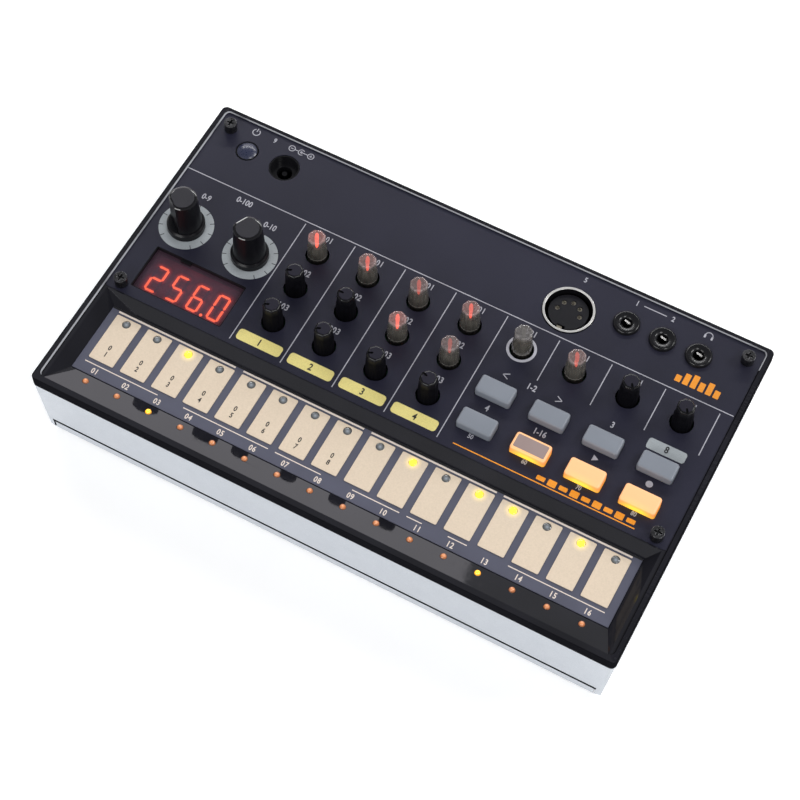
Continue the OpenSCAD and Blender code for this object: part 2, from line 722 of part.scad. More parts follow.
module jack(x) {
    translate([x, socket_y, 0]) difference() {
        union() {
            translate([0, -0.5, board_top]) block(jack_body[0], jack_body[1], jack_body_z - board_top);
            translate([0, 0, board_top]) cylinder(r = jack_r, h = deck_z + jack_h - board_top);
        }
        translate([0, 0, board_top + 1]) cylinder(r = jack_bore_r, h = deck_z);
    }
}

module sync_in_jack() color([0.13, 0.13, 0.15]) jack(jack_xs[0]);
module sync_out_jack() color([0.13, 0.13, 0.15]) jack(jack_xs[1]);
module headphone_jack() color([0.13, 0.13, 0.15]) jack(jack_xs[2]);

module power_socket() color([0.13, 0.13, 0.15]) translate([dc_x, socket_y, 0]) {
    difference() {
        union() {
            translate([0, 0, board_top]) cylinder(r = dc_well_r, h = deck_z - 0.2 - board_top);
            translate([0, -1, board_top]) block(2 * dc_well_r, 2 * dc_well_r + 1, deck_low - 2 - board_top);
        }
        translate([0, 0, board_top + socket_floor]) cylinder(r = dc_hole_r, h = deck_z);
        translate([0, 0, deck_z - dc_well_h]) cylinder(r = dc_well_r - 0.4, h = deck_z);
    }
    translate([0, 0, board_top + 1.2]) cylinder(r = dc_pin_r, h = deck_z - dc_well_h - 1.5 - board_top);
}

// ---------- buttons ----------

module button_cap(x, y) {
    flange_z = deck_low - 0.3 - flange_t;
    edge = 0.5;
    translate([x, y, 0]) {
        translate([0, 0, flange_z + eps]) round_plate(button_w, button_d, 0.6, deck_z + button_h - edge - flange_z);
        translate([0, 0, deck_z + button_h - edge]) round_plate(button_w - 0.3, button_d - 0.3, 0.5, edge / 2);
        translate([0, 0, deck_z + button_h - edge / 2]) round_plate(button_w - 0.8, button_d - 0.8, 0.4, edge / 2);
        translate([0, 0, flange_z]) round_plate(button_w + 2 * button_gap + flange_w, button_d + 2 * button_gap + flange_w,
            0.8, flange_t);
        translate([0, 0, key_stem_z]) cylinder(r = key_stem_r, h = flange_z + eps - key_stem_z);
    }
}

module part_down_button() color([0.6, 0.64, 0.68]) button_cap(col_x(4), button_ys[0]);
module part_up_button() color([0.6, 0.64, 0.68]) button_cap(col_x(5), button_ys[0]);
module mute_button() color([0.6, 0.64, 0.68]) button_cap(col_x(6), button_ys[0]);
module function_button() color([0.6, 0.64, 0.68]) button_cap(col_x(7), button_ys[0]);
module memory_button() color([0.6, 0.64, 0.68]) button_cap(col_x(4), button_ys[1]);
module step_button() color([0.95, 0.75, 0.4]) button_cap(col_x(5), button_ys[1]);
module play_button() color([1, 0.82, 0.55]) button_cap(col_x(6), button_ys[1]);
module record_button() color([1, 0.82, 0.55]) button_cap(col_x(7), button_ys[1]);

module power_button() color([0.35, 0.38, 0.5]) translate([power_x, socket_y, 0]) {
    flange_z = deck_low - 0.3 - flange_t;
    ball_r = (power_r * power_r + power_h * power_h) / (2 * power_h);
    translate([0, 0, flange_z]) cylinder(r = power_r + 0.9, h = flange_t);
    translate([0, 0, flange_z]) cylinder(r = power_r, h = deck_z - flange_z);
    intersection() {
        translate([0, 0, deck_z - eps]) cylinder(r = power_r, h = power_h + cut);
        translate([0, 0, deck_z + power_h - ball_r]) sphere(ball_r);
    }
    translate([0, 0, key_stem_z]) cylinder(r = key_stem_r, h = flange_z + eps - key_stem_z);
}

// ---------- dials ----------

dial_low = deck_z + 0.4;
shaft_gap = 0.04;                           // clearance of a shaft in its knob
dial_top = deck_z + dial_h;
dial_bore_top = dial_top - 3;
shaft_flat = dial_shaft_r * 0.6;
shaft_flat_z = deck_z + 2;

// shaft with a flat towards its pointer
module dial_shaft(x, angle) {
    translate([x, dial_y, 0]) rotate(angle) difference() {
        translate([0, 0, board_top + stem_lift])
            cylinder(r = dial_shaft_r, h = dial_bore_top - flat_gap - board_top - stem_lift);
        translate([shaft_flat, -dial_skirt_r, shaft_flat_z]) cube([dial_skirt_r, 2 * dial_skirt_r, dial_h]);
    }
}

module dial_knob(x, angle) {
    skirt_h = 2.4;
    waist_r = dial_skirt_r - 0.8;
    edge = 0.45;
    translate([x, dial_y, 0]) rotate(angle) difference() {
        union() {
            translate([0, 0, dial_low]) cylinder(r = dial_skirt_r, h = skirt_h - 0.6);
            translate([0, 0, dial_low + skirt_h - 0.6]) cylinder(r1 = dial_skirt_r, r2 = dial_skirt_r - 0.6, h = 0.6);
            difference() {
                union() {
                    translate([0, 0, dial_low + skirt_h - eps])
                        cylinder(r1 = waist_r, r2 = dial_top_r, h = dial_top - edge - dial_low - skirt_h);
                    translate([0, 0, dial_top - edge - eps]) cylinder(r1 = dial_top_r, r2 = dial_top_r - edge, h = edge);
                }
                translate([dial_flat, -dial_skirt_r, dial_low + skirt_h])
                    cube([dial_skirt_r, 2 * dial_skirt_r, dial_h]);
            }
        }
        // socket for the shaft, with its flat
        difference() {
            translate([0, 0, dial_low - cut])
                cylinder(r = dial_shaft_r + shaft_gap, h = dial_bore_top - dial_low + cut);
            translate([shaft_flat + shaft_gap, -dial_skirt_r, shaft_flat_z])
                cube([dial_skirt_r, 2 * dial_skirt_r, dial_h]);
        }
    }
}

left_dial_angle = 231;
right_dial_angle = 153.4;

module left_dial_shaft() color([0.7, 0.7, 0.72]) dial_shaft(left_dial_x, left_dial_angle);
module left_dial_knob() color([0.06, 0.06, 0.07]) dial_knob(left_dial_x, left_dial_angle);
module right_dial_shaft() color([0.7, 0.7, 0.72]) dial_shaft(right_dial_x, right_dial_angle);
module right_dial_knob() color([0.06, 0.06, 0.07]) dial_knob(right_dial_x, right_dial_angle);

// ---------- small knobs, each one piece with its stem ----------

// spot is [column, row]; angle is where its pointer slot looks
module small_knob(spot, angle) {
    low = deck_low - 1.6;
    top = deck_z + knob_h;
    edge = 0.55;
    grip_low = deck_z + knob_h * 0.45;
    flats = 8;
    translate([col_x(spot[0]), row_y(spot[1]), 0]) rotate(angle) difference() {
        union() {
            translate([0, 0, board_top + stem_lift]) cylinder(r = stem_r, h = low + eps - board_top - stem_lift);
            translate([0, 0, low]) cylinder(r = knob_r, h = top - edge - low);
            translate([0, 0, top - edge]) cylinder(r1 = knob_r, r2 = knob_r - edge, h = edge);
        }
        for (k = [0:flats - 1]) rotate(360 / flats * (k + 0.5))
            translate([knob_r * 0.945, -knob_r, grip_low]) cube([2 * knob_r, 2 * knob_r, knob_h]);
        translate([knob_r * 0.35, -0.25, top - 0.45]) cube([knob_r, 0.5, 1]);
    }
}

smoke = [0.62, 0.6, 0.58];
coal = [0.06, 0.06, 0.07];
module kick_back_knob() color(smoke) small_knob([0, 2], 120);
module kick_middle_knob() color(coal) small_knob([0, 1], 205);
module kick_front_knob() color(coal) small_knob([0, 0], 205);
module snare_back_knob() color(smoke) small_knob([1, 2], 90);
module snare_middle_knob() color(coal) small_knob([1, 1], 180);
module snare_front_knob() color(coal) small_knob([1, 0], 205);
module tom_back_knob() color(smoke) small_knob([2, 2], 60);
module tom_middle_knob() color(smoke) small_knob([2, 1], 150);
module tom_front_knob() color(coal) small_knob([2, 0], 205);
module hat_back_knob() color(smoke) small_knob([3, 2], 90);
module hat_middle_knob() color(smoke) small_knob([3, 1], 30);
module hat_front_knob() color(coal) small_knob([3, 0], 160);
module speed_knob() color(smoke) small_knob([4, 2], 90);
module tempo_knob() color(smoke) small_knob([5, 2], 90);
module level_knob() color(coal) small_knob([6, 2], -60);
module volume_knob() color(coal) small_knob([7, 2], -60);

lower_case();
battery_cover();
rear_feet();
cover_feet();
case_screws();
contact_springs();
contact_plates();
speaker_frame();
speaker_cone();
main_board();
board_chips();
small_pots();
dial_pots();
key_switches();
display_module();
ribbon_cable();
touch_board();
touch_pads();
pad_lights();
part_lights();
top_frame();
deck_panel();
panel_screws();
display_window();
data_socket_shell();
data_socket_core();
sync_in_jack();
sync_out_jack();
headphone_jack();
power_socket();
power_button();
part_down_button();
part_up_button();
mute_button();
function_button();
memory_button();
step_button();
play_button();
record_button();
left_dial_shaft();
left_dial_knob();
right_dial_shaft();
right_dial_knob();
kick_back_knob();
kick_middle_knob();
kick_front_knob();
snare_back_knob();
snare_middle_knob();
snare_front_knob();
tom_back_knob();
tom_middle_knob();
tom_front_knob();
hat_back_knob();
hat_middle_knob();
hat_front_knob();
speed_knob();
tempo_knob();
level_knob();
volume_knob();
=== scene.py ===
import json
from math import asin, atan2, copysign, cos, degrees, pi, radians, sin, sqrt

import bmesh
import bpy
from mathutils import Euler, Matrix, Vector

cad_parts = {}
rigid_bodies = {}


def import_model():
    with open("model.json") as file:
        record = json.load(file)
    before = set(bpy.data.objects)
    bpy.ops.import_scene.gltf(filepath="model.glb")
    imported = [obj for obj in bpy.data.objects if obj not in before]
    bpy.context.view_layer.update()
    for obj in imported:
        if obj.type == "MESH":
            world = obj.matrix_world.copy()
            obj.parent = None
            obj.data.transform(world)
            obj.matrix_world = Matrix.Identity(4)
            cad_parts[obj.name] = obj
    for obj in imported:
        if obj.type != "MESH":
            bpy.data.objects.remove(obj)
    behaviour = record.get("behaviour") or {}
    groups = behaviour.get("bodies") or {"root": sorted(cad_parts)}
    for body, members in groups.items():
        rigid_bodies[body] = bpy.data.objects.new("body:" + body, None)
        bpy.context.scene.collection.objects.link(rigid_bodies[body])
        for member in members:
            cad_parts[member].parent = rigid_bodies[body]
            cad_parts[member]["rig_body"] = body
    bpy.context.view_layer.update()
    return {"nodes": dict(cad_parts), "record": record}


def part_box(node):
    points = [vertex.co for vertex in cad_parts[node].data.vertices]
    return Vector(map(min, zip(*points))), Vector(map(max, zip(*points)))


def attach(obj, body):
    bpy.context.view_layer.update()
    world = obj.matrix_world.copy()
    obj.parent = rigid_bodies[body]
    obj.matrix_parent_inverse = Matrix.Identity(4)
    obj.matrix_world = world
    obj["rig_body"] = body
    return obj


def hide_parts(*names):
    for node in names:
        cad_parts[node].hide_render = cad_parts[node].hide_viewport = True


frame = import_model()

MM = 0.001
TURN = 2 * pi
HAIR = 0.01 * MM     # levels nearer than this count as the same
TINY = 1e-7          # vertices nearer than this are merged, in metres
HOUSING = "housing"


def mm(*values):
    """Millimetres as metres."""
    return tuple(value * MM for value in values)


# ---------------- places taken from the frame

def middle(node):
    low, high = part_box(node)
    return (low + high) / 2


def top_of(node):
    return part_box(node)[1].z


def radius_of(node):
    """Half the depth of a row of round parts."""
    low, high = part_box(node)
    return (high.y - low.y) / 2


DECK_Z = top_of("deck_panel")
TRAY_Z = top_of("touch_board")
PAD_Z = top_of("touch_pads")
LIP_Z = top_of("top_frame")
MODULE_Z = top_of("display_module")
PAD_COUNT = 16
PAD_GAP = 2.5 * MM
PAD_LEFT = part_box("touch_pads")[0].x
PAD_PITCH = (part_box("touch_pads")[1].x - PAD_LEFT + PAD_GAP) / PAD_COUNT
PAD_LAMP_Y = middle("pad_lights").y
SLOPE_LAMP_Y = middle("part_lights").y

# how strongly each clear knob is lit from below
CLEAR_KNOBS = {
    "kick_back": 5.6, "snare_back": 3.2, "tom_back": 1.8, "tom_middle": 5.2,
    "hat_back": 3.6, "hat_middle": 1.2, "speed": 0.0, "tempo": 2.2,
}
# where the slot of each black knob points, in degrees
BLACK_KNOBS = {
    "kick_middle": 205, "kick_front": 205, "snare_middle": 180, "snare_front": 205, "tom_front": 205,
    "hat_front": 160, "level": -60, "volume": -60,
}
GREY_KEYS = ("part_down", "part_up", "mute", "function", "memory")
LIT_KEYS = ("play", "record", "step")
LIT_PADS = (3, 10, 12, 13, 15)
LIT_PARTS = (3, 13)


def column_x(c):
    first, last = middle("kick_back_knob").x, middle("volume_knob").x
    return first + (last - first) * c / 7


def pad_x(i):
    """Middle of pad i, counted from 1 at the left."""
    return PAD_LEFT + PAD_PITCH * (i - 0.5) - PAD_GAP / 2


# ---------------- finishes

# nearly all values of a noise pattern lie between these
NOISE_LOW = 0.3
NOISE_HIGH = 0.7


class Finish:
    """A procedural material: its principled shader and the patterns that feed it, in Object coordinates."""

    def __init__(self, name, **sockets):
        self.material = bpy.data.materials.new(name)
        self.material.use_nodes = True
        tree = self.material.node_tree
        self.nodes, self.links = tree.nodes, tree.links
        self.shader = self.nodes["Principled BSDF"]
        self.place = self.nodes.new("ShaderNodeTexCoord").outputs["Object"]
        self.set(**sockets)

    def set(self, **sockets):
        """Values or patterns for the shader's sockets; _ in a name stands for a space."""
        for name, value in sockets.items():
            self.feed(self.shader.inputs[name.replace("_", " ")], value)
        return self

    def feed(self, socket, value):
        if isinstance(value, bpy.types.NodeSocket):
            self.links.new(value, socket)
        else:
            socket.default_value = (*value, 1) if socket.type == "RGBA" else value

    def node(self, kind, operation=None, **inputs):
        made = self.nodes.new("ShaderNode" + kind)
        if operation:
            made.operation = operation
        for name, value in inputs.items():
            self.feed(made.inputs[name], value)
        return made

    def math(self, operation, a, b=0.0):
        made = self.node("Math", operation)
        self.feed(made.inputs[0], a)
        self.feed(made.inputs[1], b)
        return made.outputs[0]

    def add(self, a, b):
        return self.math("ADD", a, b)

    def times(self, a, b):
        return self.math("MULTIPLY", a, b)

    def distance(self, place, spot):
        """Distance from a spot."""
        made = self.node("VectorMath", "DISTANCE", Vector=place)
        made.inputs[1].default_value = spot
        return made.outputs["Value"]

    def axis(self, name):
        return self.node("SeparateXYZ", Vector=self.place).outputs[name]

    def spread(self, value, low, high, out_low=0.0, out_high=1.0):
        """Value from low..high mapped to out_low..out_high, clamped."""
        made = self.node("MapRange", Value=value)
        sockets = ("From Min", "From Max", "To Min", "To Max")
        for name, number in zip(sockets, (low, high, out_low, out_high)):
            made.inputs[name].default_value = number
        return made.outputs[0]

    def height(self, low, high, out_low=0.0, out_high=1.0):
        """Level from low..high mapped to out_low..out_high."""
        return self.spread(self.axis("Z"), low, high, out_low, out_high)

    def grain(self, size, detail=2.0, stretch=(1, 1, 1)):
        """Noise whose blobs are about size millimetres across."""
        place = self.node("Mapping", Vector=self.place, Scale=stretch).outputs[0]
        return self.node("TexNoise", Vector=place, Scale=1 / (size * MM), Detail=detail).outputs[0]

    def mottle(self, noise, low, high):
        """Noise mapped to low..high."""
        return self.spread(noise, NOISE_LOW, NOISE_HIGH, low, high)

    def ramp(self, value, *stops):
        """Colour along stops of (position, colour)."""
        made = self.node("ValToRGB", Fac=value)
        fill_ramp(made, stops)
        return made.outputs[0]

    def tint(self, value, *stops):
        return self.set(Base_Color=self.ramp(value, *stops))

    def two_tone(self, noise, dark, pale):
        return self.tint(noise, (NOISE_LOW, dark), (NOISE_HIGH, pale))

    def polish(self, noise, smooth, rough):
        return self.set(Roughness=self.mottle(noise, smooth, rough))

    def bump(self, value, depth):
        """Relief of depth millimetres."""
        return self.set(Normal=self.node("Bump", Height=value, Distance=depth * MM).outputs[0])

    def glow(self, color, strength):
        return self.set(Emission_Color=color, Emission_Strength=strength)


def fill_ramp(node, stops):
    """Sets the stops of a colour ramp."""
    band = node.color_ramp.elements
    while len(band) < len(stops):
        band.new(0.5)
    for element, (position, color) in zip(band, stops):
        element.position = position
        element.color = (*color, 1)


def shade(color, factor):
    return tuple(min(1.0, c * factor) for c in color)


def plastic(name, color, rough, grain_size=0.5, depth=0.004, spread=0.12, **sockets):
    """Moulded plastic: faint flow marks in the colour, fine texture in gloss and relief."""
    finish = Finish(name, **sockets)
    finish.two_tone(finish.grain(14, 3), shade(color, 1 - spread), shade(color, 1 + spread))
    fine = finish.grain(grain_size, 3)
    return finish.polish(fine, rough * 0.82, rough * 1.18).bump(fine, depth)


def metal(name, color, rough, stretch=(1, 1, 1)):
    finish = Finish(name, Metallic=1.0)
    marks = finish.grain(0.6, 3, stretch)
    finish.two_tone(marks, shade(color, 0.86), color)
    return finish.polish(marks, rough * 0.7, rough * 1.4).bump(marks, 0.003)


def silver_case():
    """Silver-white satin paint over moulded plastic, with a fine metallic fleck."""
    finish = Finish("silver_case", Metallic=0.35)
    fleck = finish.grain(0.22)
    finish.tint(fleck, (0.25, (0.445, 0.475, 0.515)), (0.75, (0.565, 0.595, 0.64)))
    return finish.polish(finish.grain(6, 3), 0.3, 0.42).bump(fleck, 0.004)


def knob_black():
    """Black knob plastic: dull dark grip, a smoother crown and a slightly paler top."""
    finish = Finish("knob_black")
    high = top_of("volume_knob")
    crown = (DECK_Z + 7.5 * MM, DECK_Z + 9.8 * MM)
    flat = finish.height(high - 0.03 * MM, high - 0.01 * MM, 0.0, 0.8)
    tone = finish.add(flat, finish.times(finish.grain(0.5), 0.2))
    finish.tint(tone, (0.06, (0.0024, 0.0024, 0.0034)), (0.95, (0.021, 0.020, 0.030)))
    rough = finish.add(finish.height(*crown, 0.5, 0.2), finish.times(finish.grain(0.5), 0.06))
    return finish.set(Roughness=rough, Specular_IOR_Level=finish.height(*crown, 0.05, 0.28))


def dial_black(node):
    """Black dial plastic: satin sides, a glossier crown and a duller, fine-grained top face."""
    finish = Finish(node + "_black")
    top = top_of(node)
    rise = finish.height(top - 0.75 * MM, top - 0.45 * MM)
    flat = finish.height(top - 0.015 * MM, top - 0.005 * MM)
    sand = finish.times(flat, finish.grain(0.28))
    finish.tint(sand, (0.05, (0.0045, 0.0045, 0.006)), (0.6, (0.0145, 0.014, 0.021)))
    side = finish.times(finish.math("SUBTRACT", 1.0, rise), 0.22)
    rough = finish.add(finish.add(side, 0.08), finish.times(flat, 0.38))
    finish.set(Roughness=rough, Specular_IOR_Level=finish.spread(rise, 0.0, 1.0, 0.16, 0.45))
    return finish.bump(sand, 0.012)


def black_gloss(name, smooth, rough, specular):
    """Black moulded gloss with hairline wipe marks in two directions."""
    finish = Finish(name, Specular_IOR_Level=specular)
    finish.two_tone(finish.grain(20), (0.009, 0.009, 0.012), (0.014, 0.014, 0.019))
    wipes = finish.times(finish.grain(1.2, 2, (0.04, 1, 1)), finish.grain(1.0, 2, (1, 0.05, 1)))
    finish.set(Roughness=finish.spread(wipes, 0.2, 0.45, smooth, rough))
    return finish.bump(finish.grain(3), 0.001)


def deck_print():
    """Satin dark blue-grey screen print on the deck: a fine sand texture and a slow change of tone."""
    finish = Finish("deck_print", Specular_IOR_Level=0.34)
    sand = finish.grain(0.3)
    tone = finish.add(finish.grain(60), finish.times(sand, 0.35))
    finish.tint(tone, (0.4, (0.0100, 0.0100, 0.0215)), (0.95, (0.0165, 0.0165, 0.0335)))
    return finish.polish(sand, 0.36, 0.5).bump(sand, 0.006)


def pad_film():
    """Cream film on the pads: faint speckle, and a warm glow in the film around each lit lamp."""
    finish = Finish("pad_film")
    speck = finish.grain(0.5, 3)
    finish.two_tone(speck, (0.68, 0.565, 0.435), (0.74, 0.615, 0.48))
    finish.polish(speck, 0.36, 0.46).bump(speck, 0.003)
    glow = 0.0
    for i in LIT_PADS:
        away = finish.distance(finish.place, (pad_x(i), PAD_LAMP_Y, PAD_Z))
        glow = finish.add(glow, finish.spread(away, 0.8 * MM, 3.3 * MM, 1.0, 0.0))
    return finish.glow((1.0, 0.70, 0.02), finish.times(finish.math("POWER", glow, 2.2), 0.75))


def lamp_lens(name, base, centre_glow, rim_glow, spots, radius, strength):
    """A lamp: bright in the middle of its lens and deeper coloured towards the rim; on unlit lamps the same
    glow is a painted glint.
    """
    finish = Finish(name, Roughness=0.12, Base_Color=base, Coat_Weight=0.5)
    flat = finish.node("VectorMath", "MULTIPLY", Vector=finish.place)
    flat.inputs[1].default_value = (1, 1, 0)
    nearest = 1.0
    for x, y in spots:
        nearest = finish.math("MINIMUM", nearest, finish.distance(flat.outputs[0], (x, y, 0)))
    inward = finish.spread(nearest, 0.0, radius, 1.0, 0.0)
    color = finish.ramp(inward, (0.0, rim_glow), (0.75, centre_glow))
    return finish.glow(color, finish.times(inward, strength))


KEY_GLOW = 0.72


def lit_key(name, node):
    """Translucent key lit from below: yellow low in front, orange at the edges, pale peach on top."""
    low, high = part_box(node)
    finish = Finish(name, Roughness=0.45, Base_Color=(0.42, 0.26, 0.15))
    rise = finish.height(DECK_Z, high.z)
    across = finish.math("ABSOLUTE", finish.math("SUBTRACT", finish.axis("X"), (low.x + high.x) / 2))
    centred = finish.spread(across, 1.8 * MM, (high.x - low.x) * 0.5, 1.0, 0.0)
    color = finish.ramp(
        finish.add(rise, finish.times(finish.grain(2.5), 0.08)),
        (0.0, (1.0, 0.40, 0.0)), (0.45, (1.0, 0.22, 0.015)),
        (0.8, (1.0, 0.26, 0.05)), (0.93, (1.0, 0.46, 0.16)), (1.0, (1.0, 0.50, 0.20)),
    )
    front = finish.spread(finish.axis("Y"), low.y + 0.8 * MM, low.y + 2.8 * MM, 1.0, 0.0)
    foot = finish.times(finish.spread(rise, 0.45, 1.15, 1.0, 0.0), finish.times(front, centred))
    mix = finish.node("Mix")
    mix.data_type = "RGBA"
    for socket, value in (("Factor", foot), ("A", color), ("B", (1.0, 0.60, 0.0))):
        finish.feed(mix.inputs[socket], value)
    finish.bump(finish.grain(0.5), 0.004)
    return finish.glow(mix.outputs["Result"], finish.add(finish.times(foot, 0.5), KEY_GLOW))


def clear_smoke(name="clear_smoke", haze=0.0):
    """Smoked clear acrylic of the lit knobs, with painted light and shade: painted shade on the foot where
    it sits in the hole, a thin painted highlight just above it, a pale crown painted with the light it
    catches, and a painted red glow in the crown above a lit lamp.
    """
    finish = Finish(name, Roughness=0.1, Alpha=0.66, Coat_Weight=0.4)
    high = top_of("tempo_knob")
    # colour by height: painted shade on the foot, a thin painted highlight above it, the smoke's own tone on
    # the body, and a paler crown painted with the light it catches
    smoke_and_painted_light = finish.ramp(
        finish.height(DECK_Z, high),
        (0.07, (0.012, 0.011, 0.010)), (0.125, (0.095, 0.088, 0.072)), (0.145, (0.42, 0.40, 0.37)),
        (0.165, (0.10, 0.094, 0.078)), (0.85, (0.150, 0.138, 0.120)), (0.955, (0.26, 0.245, 0.24)),
        (0.985, (0.26, 0.245, 0.24)), (0.999, (0.155, 0.145, 0.142)),
    )
    cloud = finish.mottle(finish.grain(0.8, 3, (1, 1, 0.25)), 0.7, 1.3)
    finish.set(Base_Color=finish.node("VectorMath", "SCALE", Vector=smoke_and_painted_light, Scale=cloud).outputs[0])
    # painted red glow in the crown: the lit core's light spread through it
    if haze:
        crown = finish.height(high - 0.9 * MM, high - 0.2 * MM, 0.0, haze)
        finish.glow((1.0, 0.17, 0.12), finish.times(crown, cloud))
    return finish.bump(finish.grain(1.0), 0.01)


def core_glow(name, strength):
    """Red light guide inside a clear knob, strongest where it starts and weaker towards its top."""
    finish = Finish(name, Roughness=0.3, Base_Color=(0.30, 0.05, 0.04))
    rise = finish.height(DECK_Z + 6.6 * MM, DECK_Z + 9.6 * MM, 1.0, 0.6)
    flicker = finish.mottle(finish.grain(0.8), 0.6, 0.9)
    return finish.glow((1.0, 0.10, 0.055), finish.times(finish.times(rise, flicker), strength))


def smoked_window():
    finish = Finish("smoked_window", Roughness=0.05, Alpha=0.42)
    finish.two_tone(finish.grain(9), (0.090, 0.048, 0.074), (0.118, 0.066, 0.098))
    return finish.bump(finish.grain(2), 0.002)


def display_face(middle_at, reach):
    """Dark face behind the window, with the red haze that the lit figures throw on it."""
    finish = Finish("display_face", Roughness=0.5)
    finish.two_tone(finish.grain(1, 3), (0.060, 0.040, 0.058), (0.085, 0.058, 0.080))
    near = finish.spread(finish.distance(finish.place, middle_at), reach * 0.2, reach, 1.0, 0.0)
    patchy = finish.times(near, finish.mottle(finish.grain(5), 0.4, 1.0))
    return finish.glow((1.0, 0.045, 0.03), finish.times(patchy, 0.18))


FINISHES = {
    "case_silver": silver_case(),
    "frame_black": black_gloss("frame_black", 0.24, 0.34, 0.22),
    "deck_print": deck_print(),
    "board_blue": plastic("board_blue", (0.085, 0.088, 0.125), 0.42, 0.4, 0.004, 0.1),
    "pad_cream": pad_film(),
    "light_lens": plastic("lens_clear", (0.10, 0.11, 0.12), 0.12, Coat_Weight=0.6),
    "window_smoke": smoked_window(),
    "knob_smoke": clear_smoke(),
    "knob_black": knob_black(),
    "key_grey": plastic("key_grey", (0.205, 0.225, 0.262), 0.46, 0.4, 0.004, 0.05),
    "key_lit": lit_key("key_lit", "play_button"),
    "power_blue": plastic(
        "power_blue", (0.034, 0.040, 0.085), 0.3, Coat_Weight=0.15, Transmission_Weight=0.25
    ),
    "rubber_black": plastic("rubber_black", (0.018, 0.018, 0.019), 0.8, 0.25, 0.02, 0.2),
    "screw_black": metal("screw_black", (0.10, 0.10, 0.105), 0.3, (0.5, 0.5, 0.5)),
    "steel": metal("steel", (0.62, 0.62, 0.63), 0.3, (1, 1, 0.05)),
    "chrome": plastic("chrome", (0.80, 0.79, 0.77), 0.2, 0.5, 0.001, 0.05, Metallic=0.55),
    "socket_black": plastic(
        "socket_black", (0.0065, 0.0065, 0.008), 0.22, 0.5, 0.002, Specular_IOR_Level=0.35
    ),
    "board_green": plastic("board_green", (0.02, 0.11, 0.05), 0.35),
    "part_dark": plastic("part_dark", (0.025, 0.025, 0.027), 0.5),
    "contact_metal": metal("contact_metal", (0.34, 0.335, 0.33), 0.42),
    "cable_pale": plastic("cable_pale", (0.6, 0.58, 0.5), 0.5),
}
SLOTS = {row["node"]: row["material_slot"] for row in frame["record"]["subparts"]}


def dress(name, finish):
    """Gives a CAD node its finish."""
    materials = frame["nodes"][name].data.materials
    materials.clear()
    materials.append(finish.material)


# ---------------- mesh helpers

def new_object(name, data):
    made = bpy.data.objects.new(name, data)
    bpy.context.scene.collection.objects.link(made)
    return made


def to_piece(name, bm, finish, body=HOUSING, replaces=(), smooth=35):
    """Turns a bmesh into a finished piece that rides on a body."""
    mesh = bpy.data.meshes.new(name)
    bm.to_mesh(mesh)
    bm.free()
    mesh.materials.append(finish.material)
    mesh.shade_smooth()
    mesh.set_sharp_from_angle(angle=radians(smooth))
    piece = new_object(name, mesh)
    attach(piece, body)
    if replaces:
        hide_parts(*replaces)
    return piece


def softened(node, edge, finish=None, segments=3, smooth=35, shape=None):
    """A copy of a CAD node that stands for it, reshaped and with its edges rounded by edge millimetres."""
    source = frame["nodes"][node]
    bm = bmesh.new()
    bm.from_mesh(source.data)
    bmesh.ops.remove_doubles(bm, verts=bm.verts, dist=0.002 * MM)
    bmesh.ops.dissolve_limit(bm, angle_limit=radians(0.6), verts=bm.verts, edges=bm.edges)
    if shape:
        shape(bm)
    slot = SLOTS[node]
    piece = to_piece(
        node + "_rounded", bm, finish or FINISHES[slot], source["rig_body"], (node,), smooth
    )
    bevel = piece.modifiers.new("edge", "BEVEL")
    bevel.width = edge * MM
    bevel.segments = segments
    bevel.limit_method = "ANGLE"
    bevel.angle_limit = radians(28)
    bevel.use_clamp_overlap = True
    piece.modifiers.new("flat", "WEIGHTED_NORMAL").keep_sharp = True
    return piece


def move(bm, x, y, z=0.0):
    bmesh.ops.translate(bm, vec=(x, y, z), verts=bm.verts)
    return bm


def place(x, y, z=0.0, turn=0.0):
    return Matrix.Translation((x, y, z)) @ Matrix.Rotation(turn, 4, "Z")


def stamp(target, part, at=Matrix.Identity(4)):
    """Adds the mesh of one bmesh to another, moved by a matrix."""
    mesh = bpy.data.meshes.new("part")
    part.to_mesh(mesh)
    part.free()
    mesh.transform(at)
    target.from_mesh(mesh)
    bpy.data.meshes.remove(mesh)


def spin(bm, geom, angle, steps, closed):
    """Turns a profile round Z."""
    bmesh.ops.spin(
        bm, geom=geom, cent=(0, 0, 0), axis=(0, 0, 1), angle=angle, steps=steps, use_merge=closed
    )


def lathe(profile, steps=48):
    """A turned solid round Z from (radius, height) points."""
    bm = bmesh.new()
    verts = [bm.verts.new((r, 0, z)) for r, z in profile]
    edges = [bm.edges.new(pair) for pair in zip(verts, verts[1:] + verts[:1])]
    spin(bm, verts + edges, TURN, steps, True)
    bmesh.ops.remove_doubles(bm, verts=bm.verts, dist=TINY)
    bmesh.ops.recalc_face_normals(bm, faces=bm.faces)
    return bm


def ring_profile(inner, outer, low, high):
    """Profile of a ring between two radii and two levels."""
    return [(inner, low), (outer, low), (outer, high), (inner, high)]


def arc_points(radius, start, end, steps, centre=(0, 0)):
    """Points of a profile on an arc, angles in degrees."""
    angles = [radians(start + (end - start) * k / steps) for k in range(steps + 1)]
    return [(centre[0] + radius * cos(a), centre[1] + radius * sin(a)) for a in angles]


def turned(name, profile, at, finish, body=HOUSING, replaces=(), steps=48, smooth=40):
    """A turned piece that stands at a place."""
    to_piece(name, move(lathe(profile, steps), at.x, at.y), finish, body, replaces, smooth)


def plate(width, depth, low, high, radius=0.0, segments=5):
    """A flat plate with round corners between two levels, centred."""
    bm = bmesh.new()
    bmesh.ops.create_grid(bm, x_segments=1, y_segments=1, size=0.5)
    bmesh.ops.scale(bm, vec=(width, depth, 1), verts=bm.verts)
    if radius:
        bmesh.ops.bevel(
            bm, geom=bm.verts[:], offset=radius, segments=segments, profile=0.5, affect="VERTICES",
            material=-1,
        )
    return raise_plate(bm, low, high)


